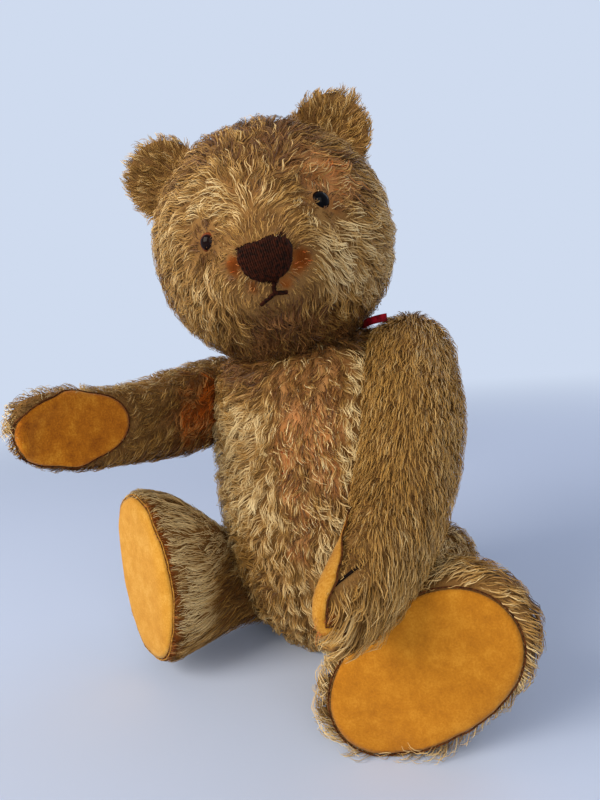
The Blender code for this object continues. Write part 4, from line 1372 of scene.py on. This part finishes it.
@dataclass
class Arm:
    """Curved arm with short smooth pile, longer at the paw."""

    side: Side

    def __post_init__(self) -> None:
        """Find the shoulder and the way to the paw."""
        name = self.side.value
        self.shoulder = joint(f"{name}_shoulder_swing")[0]
        self.paw = centre(f"{name}_paw_pad")
        self.ahead = unit(self.paw - self.shoulder)
        self.pad = Nearness.to(f"{name}_paw_pad")
        axis = joint(f"{name}_shoulder_swing")[1]
        self.inner = axis * np.sign(-axis[0] * self.shoulder[0])
        self.split = Nearness.to(f"{name}_paw_pad")

    def coat(self, points: Array, normals: Array) -> Coat:
        """Short plush, longer and curly at the paw, rusty and bare inside the right arm."""
        along = (points - self.shoulder) @ self.ahead
        flow = self.ahead + np.array([0, 0, -0.35])
        pad = self.pad(points)
        if self.side is Side.LEFT:
            coat = even_coat(len(points), flow, length=0.0095, height=0.0046, wave=0.0001,
                             density=0.95, tone=0.62, clump=0.0, stray=0.03, crest=along)
            outer = smooth_step(normals[:, 0], 0.2, 0.9)
            coat.add(ripple(points, 0.03), tone=0.02)
            coat.add(outer, tone=0.05)
            coat.add(smooth_step(along, 0.094, 0.118), length=0.0050, height=-0.0010, wave=0.0012,
                     clump=0.40, stray=0.22, tone=-0.01)
            coat.add(outer, height=0.0012)
            coat.patch(points, mm(49.5, -66.5, 65), 0.0030, tone=0.08, worn=-0.9, clump=0.1)
            coat.patch(points, mm(42, 20, 140), 0.013, length=0.011, height=0.0042,
                       wave=0.0012, tone=0.64, clump=0.4, stray=0.2)
            coat.patch(points, mm(58, 34, 148), 0.024, height=0.0020)
            split = self.split(points)
            coat.density *= smooth_step(split, 0.0003, 0.0010)
            coat.keep_off(split, (0.0022, 1.3), (0.0008, 0.8))
        else:
            coat = even_coat(len(points), flow, length=0.0100, height=0.0036, wave=0.0008,
                             density=0.95, tone=0.77, clump=0.4, stray=0.24, crest=along)
            inner = smooth_step(normals @ self.inner, 0.2, 0.8)
            coat.add(inner, tone=-0.18)
            # painted shade: the underside of the arm is darker; its pile is lower there as well
            low = smooth_step(normals[:, 2], 0.1, -0.7)
            coat.tone += (0.42 - coat.tone) * low * 0.7
            coat.add(low, height=-0.0020)
            for place, reach, tone in ((mm(-63.5, 4, 108), 0.022, 0.42),
                                       (mm(-63.5, 12, 124), 0.017, Tone.RUST),
                                       (mm(-63.5, -4, 119), 0.013, 0.08)):
                coat.patch(points, place, reach, height=0.0026, tone=tone, worn=-0.9, stray=0.4)
        coat.density *= smooth_step(pad, 0.0002, 0.0008) * ~self.pad.covers(points, normals)
        tip = smooth_step(points[:, 2], 0.071, 0.062)
        coat.flow[:, 0] -= 1.2 * tip
        coat.keep_off(pad, (0.0028 + 0.0090 * tip, 0.6), (0.0008 + 0.0012 * tip, 0.5))
        coat.seat(points, self.shoulder, 0.010, 0.014)
        return coat

    def split_seam(self, skin: bpy.types.Object) -> bpy.types.Object:
        """Lay the dark line of painted shade inside the seam beside the left pad, where it has split.

        Args:
            skin: the cloth that it opens in.

        Returns:
            The line as a piece.
        """
        tree = search_tree(skin.data)
        route = (mm(49.2, -61.5, 73), mm(49.8, -60.4, 73.8), mm(52, -56.5, 75.5),
                 mm(53.4, -53, 76.8), mm(54.5, -50, 77.8))
        path = []
        for place in route:
            spot, normal = tree.find_nearest(Vector(place))[:2]
            path.append(spot + normal * 0.0003)
        lower = [spot.lerp(path[0], 0.25) + Vector((0, 0, 0.0003)) for spot in path[:4]]
        # painted shade inside the split, drawn with the thread finish
        finish = CottonThread("split seam", "060302", "1c0e07").material()
        piece = new_piece("left_paw_split", tubes([path, lower], 0.00042), finish)
        attach(piece, "left_arm")
        return piece

    def build(self) -> None:
        """Dress the arm and sew on its pad."""
        name = self.side.value
        skin = Skin(f"{name}_arm", f"{name}_arm").build(self.coat)
        pad = FeltPad(f"{name}_paw", f"{name}_arm")
        if self.side is Side.LEFT:
            pad.stretch, pad.toward, pad.lift = 0.015, mm(47, -66, 66), 0.0008
            self.split = Nearness.of(self.split_seam(skin))
        else:
            pad.shift = (0, -3.0, 1.6)
        self.pad = Nearness.of(pad.build(skin))
        smooth = self.side is Side.LEFT
        PileMaker(skin, self.coat, seed=61 + smooth, hairs_per_mm2=1.25 if smooth else 0.76,
                  lock_spacing=0.0044 if smooth else 0.0046, steps=3 if smooth else 4,
                  width=0.00039, painted_crest_light=0.05 if smooth else 0.32).build(
                      f"{name}_arm_pile", f"{name}_arm", parts=3)
        LOG.info("%s arm: pile and pad", name)


# ---- legs -------------------------------------------------------------------------------------
@dataclass
class Leg:
    """Bent leg with a big flat sole and a fringe of pile round it."""

    side: Side

    def __post_init__(self) -> None:
        """Find the hip and the way to the foot."""
        name = self.side.value
        self.hip = joint(f"{name}_hip_swing")[0]
        self.sole = centre(f"{name}_foot_pad")
        self.ahead = unit(self.sole - self.hip)
        self.pad = Nearness.to(f"{name}_foot_pad")

    def coat(self, points: Array, normals: Array) -> Coat:
        """Curls on the thigh, pile combed to the sole on the foot, a fringe on the left one."""
        across = points - self.sole
        across -= np.outer(across @ self.ahead, self.ahead)
        foot = smooth_step((points - self.hip) @ self.ahead, 0.05, 0.080)[:, None]
        left = self.side is Side.LEFT
        flow = self.ahead + np.array([0, 0, -0.3]) * (1 - foot)
        if left:
            rim = smooth_step(self.pad(points), 0.012, 0.004)[:, None]
            flow = flow * (1 - (0.5 + 0.5 * rim) * foot) + unit(across) * 0.5 * foot
            flow += np.cross(unit(across), self.ahead) * (0.6 + 0.5 * rim) * foot
            low = smooth_step(points[:, 2], 0.014, 0.004)[:, None] * rim
            flow -= unit(across) * 0.7 * low
        coat = even_coat(len(points), flow, length=0.0125, height=0.0032, wave=0.0014,
                         density=0.95, tone=0.74, clump=0.55, stray=0.26,
                         crest=(points - self.hip) @ self.ahead)
        coat.add(ripple(points, 0.035, 3.0), tone=0.05)
        if left:
            coat.patch(points, mm(86, 5, 60), 0.03, tone=0.48)
        else:
            combed = smooth_step((points - self.hip) @ self.ahead, 0.028, 0.055)
            coat.add(combed, wave=-0.0010, stray=-0.16, clump=-0.15, height=-0.0016, tone=0.18,
                     length=0.0060)
            coat.patch(points, mm(-44, 4, 30), 0.022, tone=0.46)
            # painted shade: the underside of the leg is darker
            coat.tone += (0.32 - coat.tone) * smooth_step(normals[:, 2], -0.1, -0.8) * 0.6
            coat.patch(points, mm(-55, -2, 64), 0.024, height=0.0010, length=0.008)
        pad = self.pad(points)
        coat.density *= smooth_step(pad, 0.0002, 0.0008) * ~self.pad.covers(points, normals)
        if left:
            tuft = smooth_step(across @ unit(mm(-100, 0, 20)), 0.010, 0.024)
            rim = rim[:, 0]
            coat.length = np.minimum(coat.length, 0.0070 + 0.6 * pad) + tuft * 0.0035
            coat.add(low[:, 0], height=0.0030)
            coat.wave = np.minimum(coat.wave, 0.0004 + 0.1 * pad)
            coat.height += rim * (0.0006 + 0.0018 * tuft)
            coat.add(rim, clump=-0.3, stray=-0.1, tone=0.06)
        else:
            edge = smooth_step(pad, 0.0060, 0.0025) * smooth_step(points[:, 0], -0.072, -0.062)
            coat.blend(edge, tone=0.10)
            coat.add(edge, worn=-0.8)
            coat.keep_off(pad, (0.0018, 0.7), (0.0005, 0.2))
        coat.seat(points, self.hip, 0.013, 0.017)
        coat.density *= smooth_step(points[:, 2], 0.0000, 0.0008)
        return coat

    def build(self) -> None:
        """Dress the leg and sew on its sole."""
        name = self.side.value
        skin = Skin(f"{name}_leg", f"{name}_leg").build(self.coat)
        pad = FeltPad(f"{name}_foot", f"{name}_leg", grow=0.0012)
        if self.side is Side.RIGHT:
            pad.thread_tones = ("8a5c22", "b98638")
        else:
            pad.stretch, pad.toward = -0.0024, self.sole - mm(0, 0, 100)
        self.pad = Nearness.of(pad.build(skin))
        PileMaker(skin, self.coat, seed=71 + (self.side is Side.LEFT), steps=4).build(
            f"{name}_leg_pile", f"{name}_leg", parts=2)
        LOG.info("%s leg: pile and sole", name)


# ---- ribbon -----------------------------------------------------------------------------------
@dataclass
class NeckRibbon:
    """Narrow satin ribbon, creased lengthwise into three layers and laid round the nape."""

    layer: float = 0.0034
    gap: float = 0.00034
    route: tuple = ((-51.4, 48.8, 150.9), (-42.7, 59.7, 153.2), (-29.8, 65.6, 155.0),
                    (-15.8, 65.2, 155.7), (-3.7, 59.8, 155.6), (5.3, 51.0, 154.7),
                    (10.9, 40.9, 154.2), (16.5, 34.7, 155.1), (22.4, 31.5, 156.1),
                    (28.4, 30.6, 156.4))

    def build(self) -> None:
        """Sweep the creased section along the route."""
        curve = bpy.data.curves.new("route", "CURVE")
        curve.dimensions = "3D"
        curve.twist_mode = "Z_UP"
        spline = curve.splines.new("NURBS")
        spline.points.add(len(self.route) - 1)
        for point, place in zip(spline.points, self.route):
            point.co = (*mm(*place), 1.0)
        spline.use_endpoint_u = True
        spline.order_u = 4
        spline.resolution_u = 6
        section = bpy.data.curves.new("section", "CURVE")
        section.dimensions = "2D"
        folds = section.splines.new("POLY")
        half, gap = self.layer / 2, self.gap
        shape = [(gap, half), (gap * 1.2, 0), (gap, -half), (gap * 0.5, -half - 0.0001),
                 (0, -half), (gap * 0.1, 0), (0, half), (-gap * 0.5, half + 0.0001),
                 (-gap, half), (-gap * 0.9, 0), (-gap, -half)]
        folds.points.add(len(shape) - 1)
        for point, place in zip(folds.points, shape):
            point.co = (*place, 0, 1.0)
        profile = bpy.data.objects.new("section", section)
        bpy.context.scene.collection.objects.link(profile)
        curve.bevel_mode = "OBJECT"
        curve.bevel_object = profile
        piece = new_piece("ribbon_scrap", plain_mesh(curve), SatinRibbon().material())
        bpy.data.objects.remove(profile)
        attach(piece, "torso", "neck_ribbon")


# ---- inside, studio, order of work ------------------------------------------------------------
def dress(node: str, material: bpy.types.Material) -> None:
    """Give a CAD node a finish."""
    mesh = cad_mesh(node)
    mesh.materials.clear()
    mesh.materials.append(material)


def dress_inside() -> None:
    """Finish the sealed stuffing, discs, washers and pins."""
    wool = InnerStuff("wood wool", "8f6d3c", "d9bd86", 0.0016, 0.85).material()
    board = InnerStuff("pressed fibreboard", "5a4330", "7d6248", 0.0009, 0.8).material()
    steel = InnerStuff("drawn steel", "6f6a64", "a8a39c", 0.0012, 0.4, 1.0).material()
    for name in frame["nodes"]:
        if name.endswith("_stuffing"):
            dress(name, wool)
        elif name.endswith("_disc"):
            dress(name, board)
        elif name.endswith(("_washer", "_split_pin")):
            dress(name, steel)


@dataclass
class Studio:
    """Pale floor, soft lamps and the camera."""

    azimuth: float = 34.81
    elevation: float = 5.46
    distance: float = 0.3394
    roll: float = -5.18
    target: tuple = (-0.0405, 0.0576, 0.1176)
    lens: float = 28.13
    backdrop: str = "cfdbef"

    def camera(self) -> None:
        """Stand the camera in front and to the bear's left, a little tipped."""
        az, el, roll = (math.radians(a) for a in (self.azimuth, self.elevation, self.roll))
        back = Vector((math.sin(az) * math.cos(el), -math.cos(az) * math.cos(el), math.sin(el)))
        right = (-back).cross(Vector((0, 0, 1))).normalized()
        above = right.cross(-back)
        right, above = (right * math.cos(roll) + above * math.sin(roll),
                        above * math.cos(roll) - right * math.sin(roll))
        data = bpy.data.cameras.new("camera")
        data.sensor_fit = "VERTICAL"
        data.sensor_height = 36
        data.lens = self.lens
        data.clip_start = 0.01
        camera = bpy.data.objects.new("camera", data)
        place = Vector(self.target) + back * self.distance
        camera.matrix_world = Matrix.Translation(place) @ Matrix(
            (right, above, back)).transposed().to_4x4()
        bpy.context.scene.collection.objects.link(camera)
        bpy.context.scene.camera = camera

    def lamp(self, name: str, place: Sequence[float], size: float, watts: float,
             colour: str) -> None:
        """Hang one soft square lamp that looks at the bear.

        Args:
            name: the lamp's name.
            place: where it hangs.
            size: its side.
            watts: its strength.
            colour: its sRGB hex colour.
        """
        data = bpy.data.lights.new(name, "AREA")
        data.size, data.energy, data.color = size, watts, linear(colour)[:3]
        lamp = bpy.data.objects.new(name, data)
        way = Vector(place) - Vector(self.target)
        lamp.matrix_world = (Matrix.Translation(place)
                             @ way.to_track_quat("Z", "Y").to_matrix().to_4x4())
        bpy.context.scene.collection.objects.link(lamp)

    def world(self) -> None:
        """Pale all round for the camera and for gloss, dimmer as light on the bear."""
        world = bpy.data.worlds.new("studio air")
        world.use_nodes = True
        tree = world.node_tree
        tree.nodes.clear()
        path = add_node(tree, "LightPath")
        seen = add_node(tree, "Math", {0: path.outputs["Is Camera Ray"],
                                       1: path.outputs["Is Glossy Ray"]}, operation="MAXIMUM")
        seen = add_node(tree, "Math", {0: seen.outputs[0],
                                       1: path.outputs["Is Transmission Ray"]},
                        operation="MAXIMUM")
        light = add_node(tree, "Background", Color=linear("ecf0f6"), Strength=0.36)
        shown = add_node(tree, "Background", Color=linear(self.backdrop), Strength=1.0)
        mix = add_node(tree, "MixShader", {0: seen.outputs[0], 1: light.outputs[0],
                                           2: shown.outputs[0]})
        add_node(tree, "OutputWorld", {0: mix.outputs[0]})
        bpy.context.scene.world = world

    def floor(self) -> None:
        """Pale cloth floor that runs into the backdrop's colour."""
        bm = bmesh.new()
        bmesh.ops.create_circle(bm, cap_ends=True, segments=96, radius=6.0)
        bmesh.ops.translate(bm, vec=(0, 0, -0.0002), verts=bm.verts[:])
        material, tree, shader = start_material("pale cotton ground cloth")
        place = add_node(tree, "TexCoord").outputs["Object"]
        away = add_node(tree, "VectorMath", {0: place}, operation="LENGTH")
        fade = add_node(tree, "MapRange", {0: away.outputs["Value"]},
                        interpolation_type="SMOOTHSTEP")
        fade.inputs["From Min"].default_value = 0.35
        fade.inputs["From Max"].default_value = 1.6
        shader.inputs["Base Color"].default_value = linear("c0d0f0")
        shader.inputs["Roughness"].default_value = 0.9
        far = add_node(tree, "Emission", Color=linear(self.backdrop))
        mix = add_node(tree, "MixShader", {0: fade.outputs[0], 1: shader.outputs[0],
                                           2: far.outputs[0]})
        tree.links.new(mix.outputs[0], tree.nodes["Material Output"].inputs["Surface"])
        new_piece("floor", finished(bm), material)

    def build(self) -> None:
        """Set up the studio."""
        self.camera()
        self.world()
        self.floor()
        self.lamp("window", (-0.50, -1.15, 0.78), 0.9, 22, "fff2de")
        self.lamp("fill", (0.85, -1.00, 0.50), 1.1, 10, "fff6ea")
        self.lamp("back", (0.35, 1.05, 1.0), 0.9, 3.5, "f4f6ff")
        scene = bpy.context.scene
        scene.view_settings.view_transform = "Standard"


def main() -> None:
    """Build the bear in order."""
    logging.basicConfig(level=logging.INFO, format="%(name)s: %(message)s")
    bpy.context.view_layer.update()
    Studio().build()
    dress_inside()
    Head().build()
    Torso().build()
    for side in Side:
        Arm(side).build()
        Leg(side).build()
    NeckRibbon().build()


if __name__ == "__main__":
    main()
